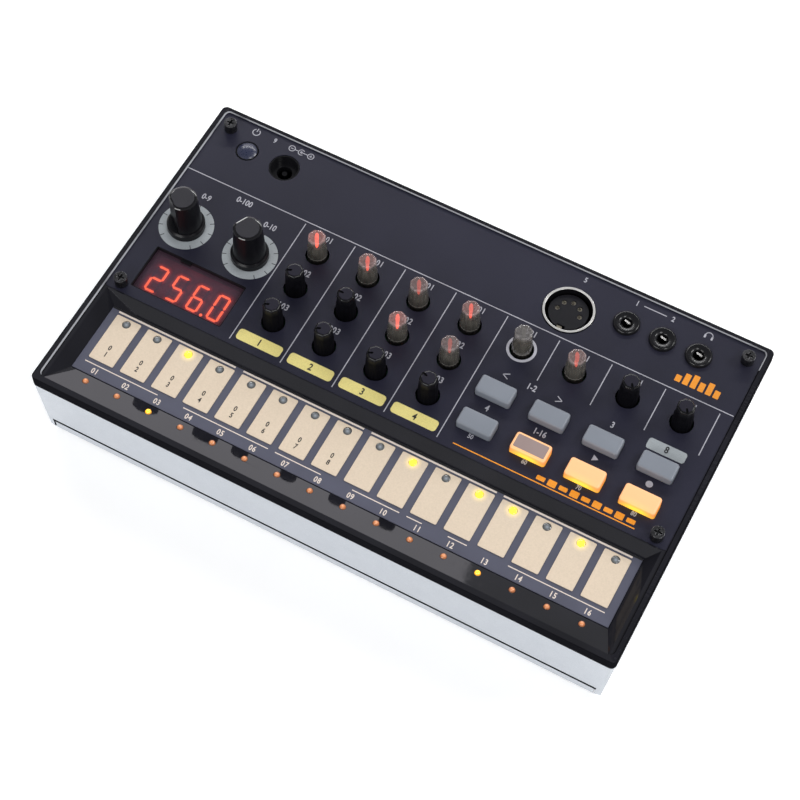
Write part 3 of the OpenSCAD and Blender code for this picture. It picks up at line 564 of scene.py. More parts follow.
def raise_plate(bm, low, high):
    """Extrudes every face of a flat outline from one level to another."""
    grown = bmesh.ops.extrude_face_region(bm, geom=bm.faces[:])
    moved = [v for v in grown["geom"] if isinstance(v, bmesh.types.BMVert)]
    base = [v for v in bm.verts if v not in set(moved)]
    bmesh.ops.translate(bm, vec=(0, 0, low), verts=base)
    bmesh.ops.translate(bm, vec=(0, 0, high), verts=moved)
    bmesh.ops.recalc_face_normals(bm, faces=bm.faces)
    return bm


def disc(radius, low, high, steps=24):
    bm = bmesh.new()
    bmesh.ops.create_circle(bm, cap_ends=True, segments=steps, radius=radius)
    return raise_plate(bm, low, high)


# ---------------- printed marks

INK = 0.03 * MM
INK_SUNK = 0.01 * MM
BOLDER = 0.022       # how far the strokes of the figures are widened, as a share of the font's size
NARROWED = 0.8


class Print:
    """Marks of one ink on one level, kept in one mesh."""

    def __init__(self, level):
        self.bm = bmesh.new()
        self.low = level - INK_SUNK
        self.high = level + INK

    def plate(self, x, y, width, depth, radius=0.0, turn=0.0):
        stamp(self.bm, plate(width, depth, self.low, self.high, radius), place(x, y, 0, turn))

    def bar(self, start, end, width):
        a, b = Vector(start), Vector(end)
        along = b - a
        mid = (a + b) / 2
        self.plate(mid.x, mid.y, along.length, width, 0, atan2(along.y, along.x))

    def ring(self, x, y, outer, inner, steps=64):
        stamp(self.bm, lathe(ring_profile(inner, outer, self.low, self.high), steps), place(x, y))

    def arc(self, x, y, outer, inner, start, sweep, steps):
        """Part of a ring, from the angle start over sweep, in degrees."""
        bm = bmesh.new()
        profile = ring_profile(inner, outer, self.low, self.high)
        face = bm.faces.new([bm.verts.new((r, 0, z)) for r, z in profile])
        spin(bm, [face], radians(sweep), steps, False)
        bmesh.ops.recalc_face_normals(bm, faces=bm.faces)
        stamp(self.bm, bm, place(x, y, 0, radians(start)))

    def dot(self, x, y, radius, steps=24, turn=0.0):
        stamp(self.bm, disc(radius, self.low, self.high, steps), place(x, y, 0, turn))

    def figures(self, text, x, y, height, spacing=1.0):
        """Plain numbers of one height, centred and slightly narrowed."""
        curve = bpy.data.curves.new("figures", "FONT")
        curve.body = text
        curve.extrude = (self.high - self.low) / 2
        curve.offset = BOLDER
        curve.resolution_u = 3
        curve.space_character = spacing
        temp = new_object("figures", curve)
        bpy.context.view_layer.update()
        mesh = bpy.data.meshes.new_from_object(temp.evaluated_get(bpy.context.evaluated_depsgraph_get()))
        bpy.data.objects.remove(temp)
        bpy.data.curves.remove(curve)
        xs = [v.co.x for v in mesh.vertices]
        ys = [v.co.y for v in mesh.vertices]
        size = height / (max(ys) - min(ys))
        centre = Matrix.Translation((-(max(xs) + min(xs)) / 2, -(max(ys) + min(ys)) / 2, 0))
        scale = Matrix.Diagonal((size * NARROWED, size, 1, 1))
        mesh.transform(place(x, y, (self.low + self.high) / 2) @ scale @ centre)
        part = bmesh.new()
        part.from_mesh(mesh)
        bmesh.ops.remove_doubles(part, verts=part.verts, dist=TINY)
        bpy.data.meshes.remove(mesh)
        stamp(self.bm, part)

    def done(self, name, finish, slot="deck_print"):
        to_piece(name, self.bm, finish)


def ink(name, color):
    """Screen-print ink: slightly uneven cover over the surface below."""
    finish = Finish(name)
    cover = finish.grain(0.35, 3)
    finish.tint(cover, (0.25, shade(color, 0.84)), (0.6, color))
    return finish.polish(cover, 0.425, 0.575)


WHITE_INK = ink("white_ink", (0.42, 0.42, 0.47))
YELLOW_INK = ink("yellow_ink", (0.76, 0.66, 0.235))
ORANGE_INK = ink("orange_ink", (0.85, 0.30, 0.015))
GREY_INK = ink("grey_ink", (0.34, 0.37, 0.39))
BLACK_INK = ink("black_ink", (0.012, 0.012, 0.014))
CREAM_INK = ink("cream_ink", (0.80, 0.70, 0.62))

# places and sizes of the deck's print
LINE = 0.3 * MM
DIVIDER_Y = 31.1 * MM
DIVIDER_X = mm(-94.9, 94.1)
LONG_LINES = mm(-51.17, -33.56, -15.84, 1.79, 19.54)
SHORT_LINES = mm(37.21, 54.79, 72.48, 90.18)
LONG_LINE_Y = mm(-17.2, 30.2)
SHORT_LINE_Y = mm(14.15, 30.0)
LABEL_H = 2.2 * MM
LABEL_ROWS = mm(28.25, 14.25, 0.56)
KEY_LABEL_Y, LOW_KEY_LABEL_Y, SMALL_LABEL_Y = mm(11.3, -1.4, -12.25)
SMALL_LABEL_H = 1.6 * MM
SOCKET_LABEL_Y = 53.4 * MM
SOCKET_LABEL_H = 1.9 * MM
POWER_SIGN_X, PLUG_SIGN_X = mm(-82.34, -69.2)
PHONES_SIGN_Y = 53.2 * MM
SIGN_RING = mm(1.15, 0.9)
PILL = mm(15.1, 3.9, 1.1)                       # width, depth, corner radius
PILL_Y = -14.2 * MM
PILL_FIGURE_H = 2.4 * MM
KEY_PLATE = mm(81.23, 11.1, 12.3, 3.8, 0.9)     # place, width, depth, corner radius
RULE_Y = -16.6 * MM
RULE_X = mm(24.66, 83.5)
FRONT_BARS = mm(52.6, -14.85, 3.62)             # place of the first bar, pitch
BACK_BARS = mm(74.2, 34.0, 2.5)
BACK_BAR_DEPTHS = mm(2.4, 4.0, 4.7, 3.2, 4.4, 2.8)
DIAL_RING = mm(8.7, 5.9)
DIAL_TICK_FOOT = 7.35 * MM
DIAL_TICKS = 11
DIAL_SWEEP = 282


def deck_lines():
    """White rules, the ring round one knob, and the symbols on the deck."""
    marks = Print(DECK_Z)
    marks.bar((DIVIDER_X[0], DIVIDER_Y), (DIVIDER_X[1], DIVIDER_Y), LINE)
    for columns, (y0, y1) in ((LONG_LINES, LONG_LINE_Y), (SHORT_LINES, SHORT_LINE_Y)):
        for x in columns:
            marks.bar((x, y0), (x, y1), LINE)
    speed = middle("speed_knob")
    marks.ring(speed.x, speed.y, *mm(4.7, 3.85))
    marks.dot(middle("play_button").x, *mm(-1.35, 1.25), 3, pi / 6)
    marks.dot(middle("record_button").x, *mm(-1.4, 1.1))
    for key, side in (("part_down_button", -1), ("part_up_button", 1)):
        x = middle(key).x
        tip = x + side * 1.0 * MM
        for rise in (-1, 1):
            marks.bar((tip, KEY_LABEL_Y), (x - side * 0.9 * MM, KEY_LABEL_Y + rise * MM), LINE)
    power_sign(marks, POWER_SIGN_X, SOCKET_LABEL_Y)
    plug_sign(marks, PLUG_SIGN_X, SOCKET_LABEL_Y)
    phones_sign(marks, middle("headphone_jack").x, PHONES_SIGN_Y)
    start, end = middle("sync_in_jack").x + 2.2 * MM, middle("sync_out_jack").x - 2.2 * MM
    marks.bar((start, SOCKET_LABEL_Y), (end, SOCKET_LABEL_Y), LINE)
    marks.done("deck_lines", WHITE_INK)


def power_sign(marks, x, y):
    marks.arc(x, y, *mm(1.35, 1.05), 120, 300, 20)
    marks.bar((x, y + 0.25 * MM), (x, y + 1.6 * MM), LINE)


def plug_sign(marks, x, y):
    """Polarity of the power plug: a minus ring, the plug and a plus ring."""
    gap, arm = mm(3.4, 0.5)
    minus, plug, plus = x, x + gap, x + 2 * gap
    for at in (minus, plus):
        marks.ring(at, y, *SIGN_RING, 24)
        marks.bar((at - arm, y), (at + arm, y), 0.22 * MM)
    marks.bar((plus, y - arm), (plus, y + arm), 0.22 * MM)
    marks.arc(plug, y, *SIGN_RING, 45, 270, 20)
    marks.dot(plug, y, 0.4 * MM)
    marks.bar((minus + SIGN_RING[0], y), (plug - SIGN_RING[0], y), 0.25 * MM)
    marks.bar((plug, y), (plus - SIGN_RING[0], y), 0.25 * MM)


def phones_sign(marks, x, y):
    marks.arc(x, y, *mm(1.3, 1.05), 0, 180, 16)
    for side in (-1, 1):
        marks.plate(x + side * 1.15 * MM, y - 0.55 * MM, *mm(0.6, 1.2, 0.15))


def deck_figures():
    """Plain numbers where the deck is labelled."""
    marks = Print(DECK_Z)
    for c in range(8):
        for row, y in enumerate(LABEL_ROWS if c < 4 else LABEL_ROWS[:1], 1):
            marks.figures(f"{c + 1}0{row}", column_x(c), y, LABEL_H, 1.15)
    for text, x, y in (("0-9", -83.5, 23.97), ("0-10", -60.5, 23.97), ("0-100", -72.1, 28.2)):
        marks.figures(text, *mm(x, y), LABEL_H)
    marks.figures("1-2", 37.1 * MM, KEY_LABEL_Y, LABEL_H)
    marks.figures("3", middle("mute_button").x, KEY_LABEL_Y, LABEL_H)
    marks.figures("4", middle("memory_button").x, LOW_KEY_LABEL_Y, LABEL_H)
    marks.figures("1-16", middle("step_button").x, LOW_KEY_LABEL_Y, LABEL_H)
    for number, key in enumerate(("memory", "step", "play", "record"), 5):
        marks.figures(f"{number}0", middle(key + "_button").x, SMALL_LABEL_Y, SMALL_LABEL_H)
    shell, sync_in, sync_out = (
        middle(node).x for node in ("data_socket_shell", "sync_in_jack", "sync_out_jack")
    )
    for text, x in (("9", -75.4 * MM), ("5", shell), ("1", sync_in), ("2", sync_out)):
        marks.figures(text, x, SOCKET_LABEL_Y, SOCKET_LABEL_H)
    marks.done("deck_figures", WHITE_INK)


def dial_scales():
    """Pale rings round the two dials, with dark ticks."""
    rings, ticks = Print(DECK_Z), Print(DECK_Z + INK)
    for node in ("left_dial_shaft", "right_dial_shaft"):
        at = middle(node)
        rings.ring(at.x, at.y, *DIAL_RING, 96)
        for k in range(DIAL_TICKS):
            angle = radians(90 + DIAL_SWEEP / 2 - DIAL_SWEEP * k / (DIAL_TICKS - 1))
            out = Vector((cos(angle), sin(angle), 0))
            start, end = at + out * DIAL_TICK_FOOT, at + out * DIAL_RING[0]
            ticks.bar(start.to_2d(), end.to_2d(), 0.22 * MM)
    rings.done("dial_rings", GREY_INK)
    ticks.done("dial_ticks", BLACK_INK)


def deck_pills():
    """Yellow plates with a number under the first four knob columns, and the grey plate of one key."""
    pills, grey, figures = Print(DECK_Z), Print(DECK_Z), Print(DECK_Z + INK)
    for c in range(4):
        pills.plate(column_x(c), PILL_Y, *PILL)
        figures.figures(str(c + 1), column_x(c), PILL_Y, PILL_FIGURE_H)
    pills.done("deck_pills", YELLOW_INK)
    grey.plate(*KEY_PLATE)
    figures.figures("8", KEY_PLATE[0], KEY_LABEL_Y, PILL_FIGURE_H)
    grey.done("key_plate", GREY_INK)
    figures.done("pill_figures", BLACK_INK)


def orange_marks():
    """Orange rule and bars in front of the keys, and a row of uneven bars further back."""
    marks = Print(DECK_Z)
    marks.bar((RULE_X[0], RULE_Y), (RULE_X[1], RULE_Y), 0.35 * MM)
    x, y, pitch = FRONT_BARS
    for k in range(9):
        marks.plate(x + pitch * k, y, *mm(2.7, 1.5 + 0.7 * (k % 2), 0.3))
    x, y, pitch = BACK_BARS
    for k, depth in enumerate(BACK_BAR_DEPTHS):
        marks.plate(x + pitch * k, y + depth / 2, 1.8 * MM, depth, 0.2 * MM)
    marks.done("orange_marks", ORANGE_INK)


# ends of the lines on the touch board
TRAY_BARS = ((-87.0, -45.7), (-43.0, -1.5), (1.0, 42.7), (45.0, 86.5))
TRAY_RULES = (
    (-87.0, -61.5), (-52.5, -23.4), (-21.0, -5.5), (5.0, 20.6), (23.0, 28.0), (36.5, 42.7), (56.0, 86.7),
)
TRAY_BAR_Y, TRAY_RULE_Y, TRAY_FIGURE_Y = mm(-23.2, -42.6, -44.6)
PAD_FIGURE_Y = mm(-35.6, -38.1)
PAD_FIGURE_H = 1.8 * MM


def tray_marks():
    """Rules and plain numbers on the touch board and on the first eight pads, and a painted shadow along the
    board's back edge under the tray's back wall.
    """
    # black strip along the board's back edge: painted shadow of the tray's back wall
    painted_back_shadow = Print(TRAY_Z)
    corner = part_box("touch_board")[1]
    half, y = corner.x - 0.05 * MM, corner.y - 0.34 * MM
    painted_back_shadow.bar((-half, y), (half, y), 0.62 * MM)
    painted_back_shadow.done("board_painted_back_shadow", BLACK_INK, "board_blue")
    board = Print(TRAY_Z)
    for lines, y, width in ((TRAY_BARS, TRAY_BAR_Y, 0.6 * MM), (TRAY_RULES, TRAY_RULE_Y, LINE)):
        for x0, x1 in lines:
            board.bar((x0 * MM, y), (x1 * MM, y), width)
    for i in range(1, PAD_COUNT + 1):
        board.figures(f"{i:02d}", pad_x(i), TRAY_FIGURE_Y, 1.95 * MM, 1.15)
    board.done("tray_marks", CREAM_INK, "board_blue")
    pads = Print(PAD_Z)
    for i in range(1, 9):
        for text, y in zip(("0", str(i)), PAD_FIGURE_Y):
            pads.figures(text, pad_x(i), y, PAD_FIGURE_H)
    pads.done("pad_figures", BLACK_INK, "pad_cream")


# ---------------- lamps and display

def by_light(lit, y):
    """Places of the lit lamps of a row, then of the others."""
    numbers = range(1, PAD_COUNT + 1)
    return [[(pad_x(i), y) for i in numbers if (i in lit) == wanted] for wanted in (True, False)]


def lamp_row(name, node, spots, z, dome, steps, lens):
    """One piece for those lamps of a row that share a lens."""
    bm = bmesh.new()
    for x, y in spots:
        stamp(bm, lathe(dome, steps), place(x, y, z))
    to_piece(name, bm, lens, HOUSING, (node,))


def pad_lamps():
    """Lamps in the pads: the lit ones yellow, the others clear with a painted glint, a faint glow off their
    middle.
    """
    r = radius_of("pad_lights")
    dome = [(0, 0), (r, 0), (r, 0.28 * MM), (r * 0.8, 0.42 * MM), (r * 0.4, 0.5 * MM), (0, 0.52 * MM)]
    lit, dark = by_light(LIT_PADS, PAD_LAMP_Y)
    # a weak glow off the middle of each unlit lamp: a painted glint
    painted_glints = [(x + 0.1 * MM, y - 0.12 * MM) for x, y in dark]
    bright = lamp_lens(
        "pad_lamp_lit", (0.7, 0.55, 0.1), (1.0, 0.82, 0.0), (1.0, 0.66, 0.02), lit, r * 1.9, 2.3
    )
    clear = lamp_lens(
        "pad_lamp_dark_painted_glint", (0.105, 0.110, 0.112), (0.75, 0.85, 1.0), (0.5, 0.55, 0.6), painted_glints, r * 0.8, 0.3
    )
    lamp_row("pad_lamps_lit", "pad_lights", lit, TRAY_Z, dome, 20, bright)
    lamp_row("pad_lamps_dark", "pad_lights", dark, TRAY_Z, dome, 20, clear)


def slope_lamps():
    """Lamps on the tray's front slope: the lit ones yellow, the others unlit with a painted dim orange glow,
    brightest in the middle as a painted highlight.
    """
    r = radius_of("part_lights")
    dome = [(0, -2 * r), (r, -2 * r), *arc_points(r, 0, 72, 4), (0, r)]
    lit, dim = by_light(LIT_PARTS, SLOPE_LAMP_Y)
    for name, spots, centre, rim, strength in (
        ("part_lamps_lit", lit, (1.0, 0.72, 0.0), (1.0, 0.36, 0.0), 3.4),
        # the unlit lamps glow faintly: a painted glow, brightest in the middle as a painted highlight
        ("part_lamps_unlit_painted_glow", dim, (1.0, 0.42, 0.16), (0.75, 0.15, 0.03), 0.62),
    ):
        lens = lamp_lens(name + "_lens", (0.42, 0.16, 0.07), centre, rim, spots, r * 1.1, strength)
        lamp_row(name, "part_lights", spots, top_of("part_lights") - r, dome, 24, lens)


SEGMENTS = {"0": "abcdef", "2": "abged", "5": "afgcd", "6": "afgedc"}
SHOWN = "2560"
DIGIT_W, DIGIT_H, DIGIT_PITCH = mm(4.3, 9.8, 7.35)
DIGIT_DOWN = 1.0 * MM
SEGMENT_T = 0.8 * MM
SEGMENT_GAP = 0.08 * MM
HALOS = ((2.1, 0.42), (3.3, 0.16), (4.8, 0.06))


def segment(length, width, height):
    """A bar with pointed ends, along X."""
    bm = bmesh.new()
    half, tip = length / 2, width / 2
    neck = half - tip
    outline = [(-half, 0), (-neck, -tip), (neck, -tip), (half, 0), (neck, tip), (-neck, tip)]
    bm.faces.new([bm.verts.new((x, y, 0)) for x, y in outline])
    return raise_plate(bm, 0, height)


def display():
    """Seven-segment figures under the window, 256.0, with their glow and the dark segments just visible."""
    at = middle("display_module")
    lit, dark = bmesh.new(), bmesh.new()
    halos = [bmesh.new() for _ in HALOS]
    w, h = DIGIT_W - SEGMENT_T, DIGIT_H - SEGMENT_T
    places = {
        "a": (0, h / 2, 0), "d": (0, -h / 2, 0), "g": (0, 0, 0),
        "b": (w / 2, h / 4, 1), "c": (w / 2, -h / 4, 1), "f": (-w / 2, h / 4, 1), "e": (-w / 2, -h / 4, 1),
    }
    for k, figure in enumerate(SHOWN):
        x0 = at.x + (k - 1.5) * DIGIT_PITCH
        for key, (x, y, upright) in places.items():
            length = (h / 2 if upright else w) - SEGMENT_GAP
            on = key in SEGMENTS[figure]
            spot = place(x0 + x, at.y - DIGIT_DOWN + y, MODULE_Z, pi / 2 * upright)
            stamp(lit if on else dark, segment(length, SEGMENT_T, (0.17 if on else 0.16) * MM), spot)
            for n, (reach, _) in enumerate(HALOS if on else ()):
                width = SEGMENT_T * reach
                halo = plate(length + width - SEGMENT_T, width, 0, (0.13 - 0.03 * n) * MM, width * 0.48)
                stamp(halos[n], halo, spot)
    point = place(at.x + 1.5 * DIGIT_PITCH - 3.6 * MM, at.y - 5.6 * MM, MODULE_Z)
    stamp(lit, disc(0.5 * MM, 0, 0.16 * MM), point)
    for n, (bm, (_, strength)) in enumerate(zip(halos, HALOS)):
        haze = Finish(f"figure_haze_{n}", Roughness=0.6, Base_Color=(0.07, 0.045, 0.06))
        haze.glow((1.0, 0.05, 0.025), haze.mottle(haze.grain(2), strength * 0.8, strength * 1.2))
        to_piece(f"figures_haze_{n}", bm, haze)
    red = Finish("figure_lit", Roughness=0.5, Base_Color=(0.8, 0.1, 0.05))
    red.glow((1.0, 0.135, 0.05), red.mottle(red.grain(1.2), 2.3, 3.2))
    to_piece("figures_lit", lit, red)
    off = plastic("figure_dark", (0.11, 0.055, 0.075), 0.5)
    to_piece("figures_dark", dark, off)
    dress("display_module", display_face((at.x, at.y - DIGIT_DOWN, MODULE_Z), 17 * MM))


WINDOW_OPENING = mm(31.9, 16.2)
PAINTED_SHADE_THICKNESS = 0.28 * MM


def window_liner():
    """Black walls in the deck's opening over the window, as painted shade on the opening's walls, with a
    black catch standing for the dark notch at its back edge.
    """
    low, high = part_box("display_window")
    mid = (low + high) / 2
    width, depth = WINDOW_OPENING
    top = DECK_Z - 0.06 * MM
    bm = bmesh.new()
    for side in (-1, 1):
        stamp(bm, plate(width, PAINTED_SHADE_THICKNESS, high.z, top), place(mid.x, mid.y + side * (depth - PAINTED_SHADE_THICKNESS) / 2))
        wall = plate(PAINTED_SHADE_THICKNESS, depth - 2 * PAINTED_SHADE_THICKNESS, high.z, top)
        stamp(bm, wall, place(mid.x + side * (width - PAINTED_SHADE_THICKNESS) / 2, mid.y))
    catch = plate(3.6 * MM, 0.8 * MM, high.z, high.z + 0.9 * MM, 0.25 * MM)
    stamp(bm, catch, place(-77 * MM, mid.y + depth / 2 - PAINTED_SHADE_THICKNESS - 0.4 * MM))
    to_piece("window_liner", bm, FINISHES["socket_black"])


# ---------------- frame and case

UP = (0, 0, 1)
BACK = (0, 1, 0)
CORNER_R, TIGHT_R, LIP_BEVEL = mm(3.0, 1.7, 0.6)
BEVEL_KEPT = 0.35
SEAT_R, SEAT_HALF_X = mm(2.0, 95.25)
SEAT_Y = mm(-55.4, 56.25)
EDGE_FOOT = LIP_Z - 0.4 * MM
# how far the top and the foot of the lip's chamfer lie inside the seat, at the sides and at the back
EDGE_TOP_IN = mm(0.42, 0.06)
EDGE_FOOT_IN = mm(0.78, 0.28)
# right of this X the chamfer carries its painted highlight only behind this Y
EDGE_RIGHT_X, EDGE_END_Y = mm(90, 49.0)
# depth and level of the upper and lower edge of the tray's front slope, and how far the lower one goes down
FRONT_SLOPE = mm(-55.4, 30.5), mm(-46.3, 26.5)
SLOPE_DROP = 0.28 * MM
SLOPE_HALF_X = 93.5 * MM
# where the tray's polished walls and slope lie
WALLS_HALF_X, WALLS_LOW_Z = mm(93.6, 26.0)
WALLS_Y = mm(-55.6, -18.9)


def frame_shape(bm):
    """Tighter outer corners, a slope along the lip's inner edge, and a steeper front slope in the tray."""
    tighten_corners(bm)
    slope_lip(bm)
    tilt_front_slope(bm)


def tilt_front_slope(bm):
    """Turns the tray's front slope about its upper edge, so that it mirrors the knobs behind it."""
    (front, high), (back, low) = FRONT_SLOPE
    for v in bm.verts:
        along = (v.co.y - front) / (back - front)
        level = high + (low - high) * along
        if -0.01 < along < 1.01 and abs(v.co.x) < SLOPE_HALF_X and abs(v.co.z - level) < 2 * HAIR:
            v.co.z -= SLOPE_DROP * along


def split(bm, faces, at, normal):
    """Splits some faces where a plane crosses them."""
    edges = {e for f in faces for e in f.edges}
    verts = {v for f in faces for v in f.verts}
    bmesh.ops.bisect_plane(bm, geom=[*faces, *edges, *verts], plane_co=at, plane_no=normal, dist=TINY)


def tighten_corners(bm):
    """Sharpens the frame's outside: corners of a smaller radius and a narrower bevel, within its own box."""
    low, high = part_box("top_frame")
    mid, half = (low + high) / 2, (high - low) / 2
    core = [half[k] - CORNER_R for k in (0, 1)]
    start = high.z - LIP_BEVEL

    def outward(at):
        return Vector([abs(at[k] - mid[k]) - core[k] for k in (0, 1)])

    def on_corner(at):
        out = outward(at)
        return min(out) > -1e-6 and out.length > CORNER_R - 3 * HAIR

    walls = [f for f in bm.faces if on_corner(f.calc_center_median()) and abs(f.normal.z) < 0.2]
    split(bm, walls, (0, 0, start), UP)
    for v in bm.verts:
        inset = max(0.0, v.co.z - start)
        new_inset = inset * BEVEL_KEPT
        out, corner = outward(v.co), on_corner(v.co)
        flat = [abs(abs(v.co[k] - mid[k]) - (half[k] - inset)) < HAIR for k in (0, 1)]
        if corner and min(out) > 1e-6:
            out *= rounded_reach(out.normalized(), CORNER_R - new_inset, TIGHT_R - new_inset) / out.length
            for k in (0, 1):
                v.co[k] = mid[k] + copysign(core[k] + out[k], v.co[k] - mid[k])
        else:
            for k in (0, 1):
                if flat[k]:
                    v.co[k] = mid[k] + copysign(half[k] - new_inset, v.co[k] - mid[k])
        if (corner or any(flat)) and v.co.z > start - HAIR:
            v.co.z = high.z - (LIP_BEVEL - inset) * BEVEL_KEPT


def rounded_reach(way, half, radius):
    """Distance from the middle of a rounded square to its outline along a direction."""
    core = half - radius
    if min(way) / max(way) * half < core:
        return half / max(way)
    b = core * (way.x + way.y)
    return b + sqrt(b * b - 2 * core * core + radius * radius)


def seat_normal(at):
    """Outward direction of the seat's outline at a point on it, or None elsewhere."""
    core_x = SEAT_HALF_X - SEAT_R
    near_x = max(-core_x, min(core_x, at.x))
    near_y = max(SEAT_Y[0] + SEAT_R, min(SEAT_Y[1] - SEAT_R, at.y))
    out = at.to_2d() - Vector((near_x, near_y))
    return out.normalized() if abs(out.length - SEAT_R) < 3 * HAIR else None


def slope_lip(bm):
    """Slopes the upper part of the lip's inner wall at the back and the sides."""
    walls = [f for f in bm.faces if abs(f.normal.z) < 0.1 and all(seat_normal(v.co) for v in f.verts)]
    split(bm, walls, (0, 0, EDGE_FOOT), UP)
    tops = {f for f in bm.faces if f.normal.z > 0.9 and f.calc_center_median().z > LIP_Z - HAIR}
    edged = {f for v in bm.verts if seat_normal(v.co) for f in v.link_faces}
    split(bm, edged | tops, (0, EDGE_END_Y, 0), BACK)
    for v in bm.verts:
        out = seat_normal(v.co)
        if out and v.co.z >= EDGE_FOOT - HAIR:
            reach = EDGE_TOP_IN if v.co.z > LIP_Z - HAIR else EDGE_FOOT_IN
            v.co.x -= out.x * reach[0]
            v.co.y -= max(0.0, out.y) * reach[1]


def inner_side(face):
    """True where a face of the frame looks towards the middle of the machine."""
    return face.center.x * face.normal.x + face.center.y * face.normal.y < 0


# finishes of the frame besides its first, satin one
POLISHED, PAINTED_HIGHLIGHT_EDGE, OUTER_SIDE, TRAY_SIDE = 1, 2, 3, 4


def frame_finish(face):
    at, normal = face.center, face.normal
    if abs(at.x) < WALLS_HALF_X and WALLS_Y[0] < at.y < WALLS_Y[1] and at.z > WALLS_LOW_Z:
        return TRAY_SIDE if abs(normal.x) > 0.3 else POLISHED
    # the lip's inner chamfer takes the pale colour as a painted highlight where a light catches it, the
    # satin side elsewhere
    if 0.3 < normal.z < 0.97 and at.z > EDGE_FOOT and inner_side(face):
        return PAINTED_HIGHLIGHT_EDGE if at.x < EDGE_RIGHT_X or at.y > EDGE_END_Y else OUTER_SIDE
    return OUTER_SIDE if abs(normal.z) < 0.9 and not inner_side(face) else 0


def bezel():
    """The frame: polished tray walls and front slope, a pale painted highlight on the lip's inner edge,
    satin outside.
    """
    piece = softened("top_frame", 0.1, segments=2, shape=frame_shape)
    for finish in (
        black_gloss("tray_gloss", 0.03, 0.07, 0.5),
        # pale grey on the lip's chamfer: a painted highlight
        plastic("lip_edge_painted_highlight", (0.42, 0.43, 0.46), 0.25, 0.4, 0.002, 0.06),
        plastic("frame_side", (0.0085, 0.0085, 0.0105), 0.5, 0.4, 0.003, Specular_IOR_Level=0.0),
        black_gloss("tray_side", 0.04, 0.12, 0.14),
    ):
        piece.data.materials.append(finish.material)
    for face in piece.data.polygons:
        face.material_index = frame_finish(face)


CASE_HALF = mm(95.3, 56.3)
CASE_R, CASE_TIGHT = mm(2.5, 1.2)
CASE_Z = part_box("lower_case")[0].z, top_of("lower_case")
# half width and half depth of the case's outside as drawn, at its foot and at its top
CASE_FOOT = mm(94.9, 56.3)
CASE_TOP = mm(96.3, 57.3)
# level of the case's cut above the cover, as built and as drawn
COVER_CUT = mm(4.8, 6.55)
COVER_TOP = 5.45 * MM


def case_half(z):
    """Half width and half depth of the drawn case at one level."""
    rise = (z - CASE_Z[0]) / (CASE_Z[1] - CASE_Z[0])
    return [foot + (top - foot) * rise for top, foot in zip(CASE_TOP, CASE_FOOT)]


def case_shape(bm):
    """Lets the outside of the lower case taper from the frame down, with tighter corners."""
    for v in bm.verts:
        if abs(v.co.z - COVER_CUT[0]) < HAIR and v.co.y < -52 * MM:
            v.co.z = COVER_CUT[1]
        new = case_half(v.co.z)
        out = Vector([abs(v.co[k]) - (CASE_HALF[k] - CASE_R) for k in (0, 1)])
        on_corner = min(out) > 0 and out.length > CASE_R - 0.5 * MM
        way = out.normalized()
        for k in (0, 1):
            if on_corner:
                v.co[k] = copysign(new[k] - CASE_TIGHT * (1 - way[k]), v.co[k])
            elif abs(v.co[k]) > CASE_HALF[k] - 0.75 * MM:
                v.co[k] = copysign(new[k], v.co[k])


def cover_shape(bm):
    """Brings the battery cover's front out to the drawn face of the case, and makes it taller."""
    low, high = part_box("battery_cover")
    for v in bm.verts:
        if v.co.y <= low.y + 0.2 * MM:
            if v.co.z > high.z - HAIR:
                v.co.z = COVER_TOP
            v.co.y = -case_half(v.co.z)[1]


def cover_seam():
    """Dark shadow line in the joint above the battery cover, turned down at its left end."""
    low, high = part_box("battery_cover")
    gap = COVER_CUT[1] - COVER_TOP
    bm = bmesh.new()
    for x, z, width, height in (
        (0, COVER_TOP + gap / 2, high.x - low.x + gap, gap),
        (low.x - 0.1 * MM, *mm(4.2, 0.6, 3.2)),
    ):
        part = plate(width, 0.5 * MM, -height / 2, height / 2)
        stamp(bm, part, Matrix.Translation((x, 0.2 * MM - case_half(z)[1], z)))
    shadow = plastic("joint_shadow", (0.005, 0.005, 0.007), 0.6, Specular_IOR_Level=0.0)
    to_piece("cover_seam", bm, shadow)


SCREW_SPOTS = mm(-90.2, 90.2), mm(-15.9, 50.6)


def screw_rims():
    """Pale metal ring round the top edge of the head of each deck screw."""
    top = top_of("panel_screws")
    inner, chamfered, outer = mm(1.72, 1.86, 2.02)
    low, foot, high = top - 0.1 * MM, top - 0.05 * MM, top - 0.005 * MM
    profile = [(inner, low), (outer, low), (outer, foot), (chamfered, high), (inner, high)]
    bm = bmesh.new()
    for y in SCREW_SPOTS[1]:
        for x in SCREW_SPOTS[0]:
            stamp(bm, lathe(profile), place(x, y))
    to_piece("screw_rims", bm, metal("screw_pale_rim", (0.62, 0.62, 0.64), 0.34))


# ---------------- keys and knobs

KEY_FLANGE, KEY_EDGE, KEY_CORNER = mm(1.1, 0.75, 0.9)


def key(name, finish, slot):
    """A key cap with round corners and a rounded top edge, which stands for the button."""
    node = name + "_button"
    low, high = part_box(node)
    width, depth = high.x - low.x - KEY_FLANGE, high.y - low.y - KEY_FLANGE
    bm = plate(width, depth, DECK_Z - 2.5 * MM, high.z, KEY_CORNER, 6)
    top = [e for e in bm.edges if all(v.co.z > high.z - 1e-6 for v in e.verts)]
    bmesh.ops.bevel(
        bm, geom=top, offset=KEY_EDGE, segments=6, profile=0.5, affect="EDGES", material=-1,
        clamp_overlap=True,
    )
    at = middle(node)
    to_piece(name + "_key", move(bm, at.x, at.y), finish, name, (node,), 50)


def keys():
    for name in GREY_KEYS:
        key(name, FINISHES["key_grey"], "key_grey")
    for name in LIT_KEYS:
        key(name, lit_key(name + "_key_glow", name + "_button"), "key_lit")


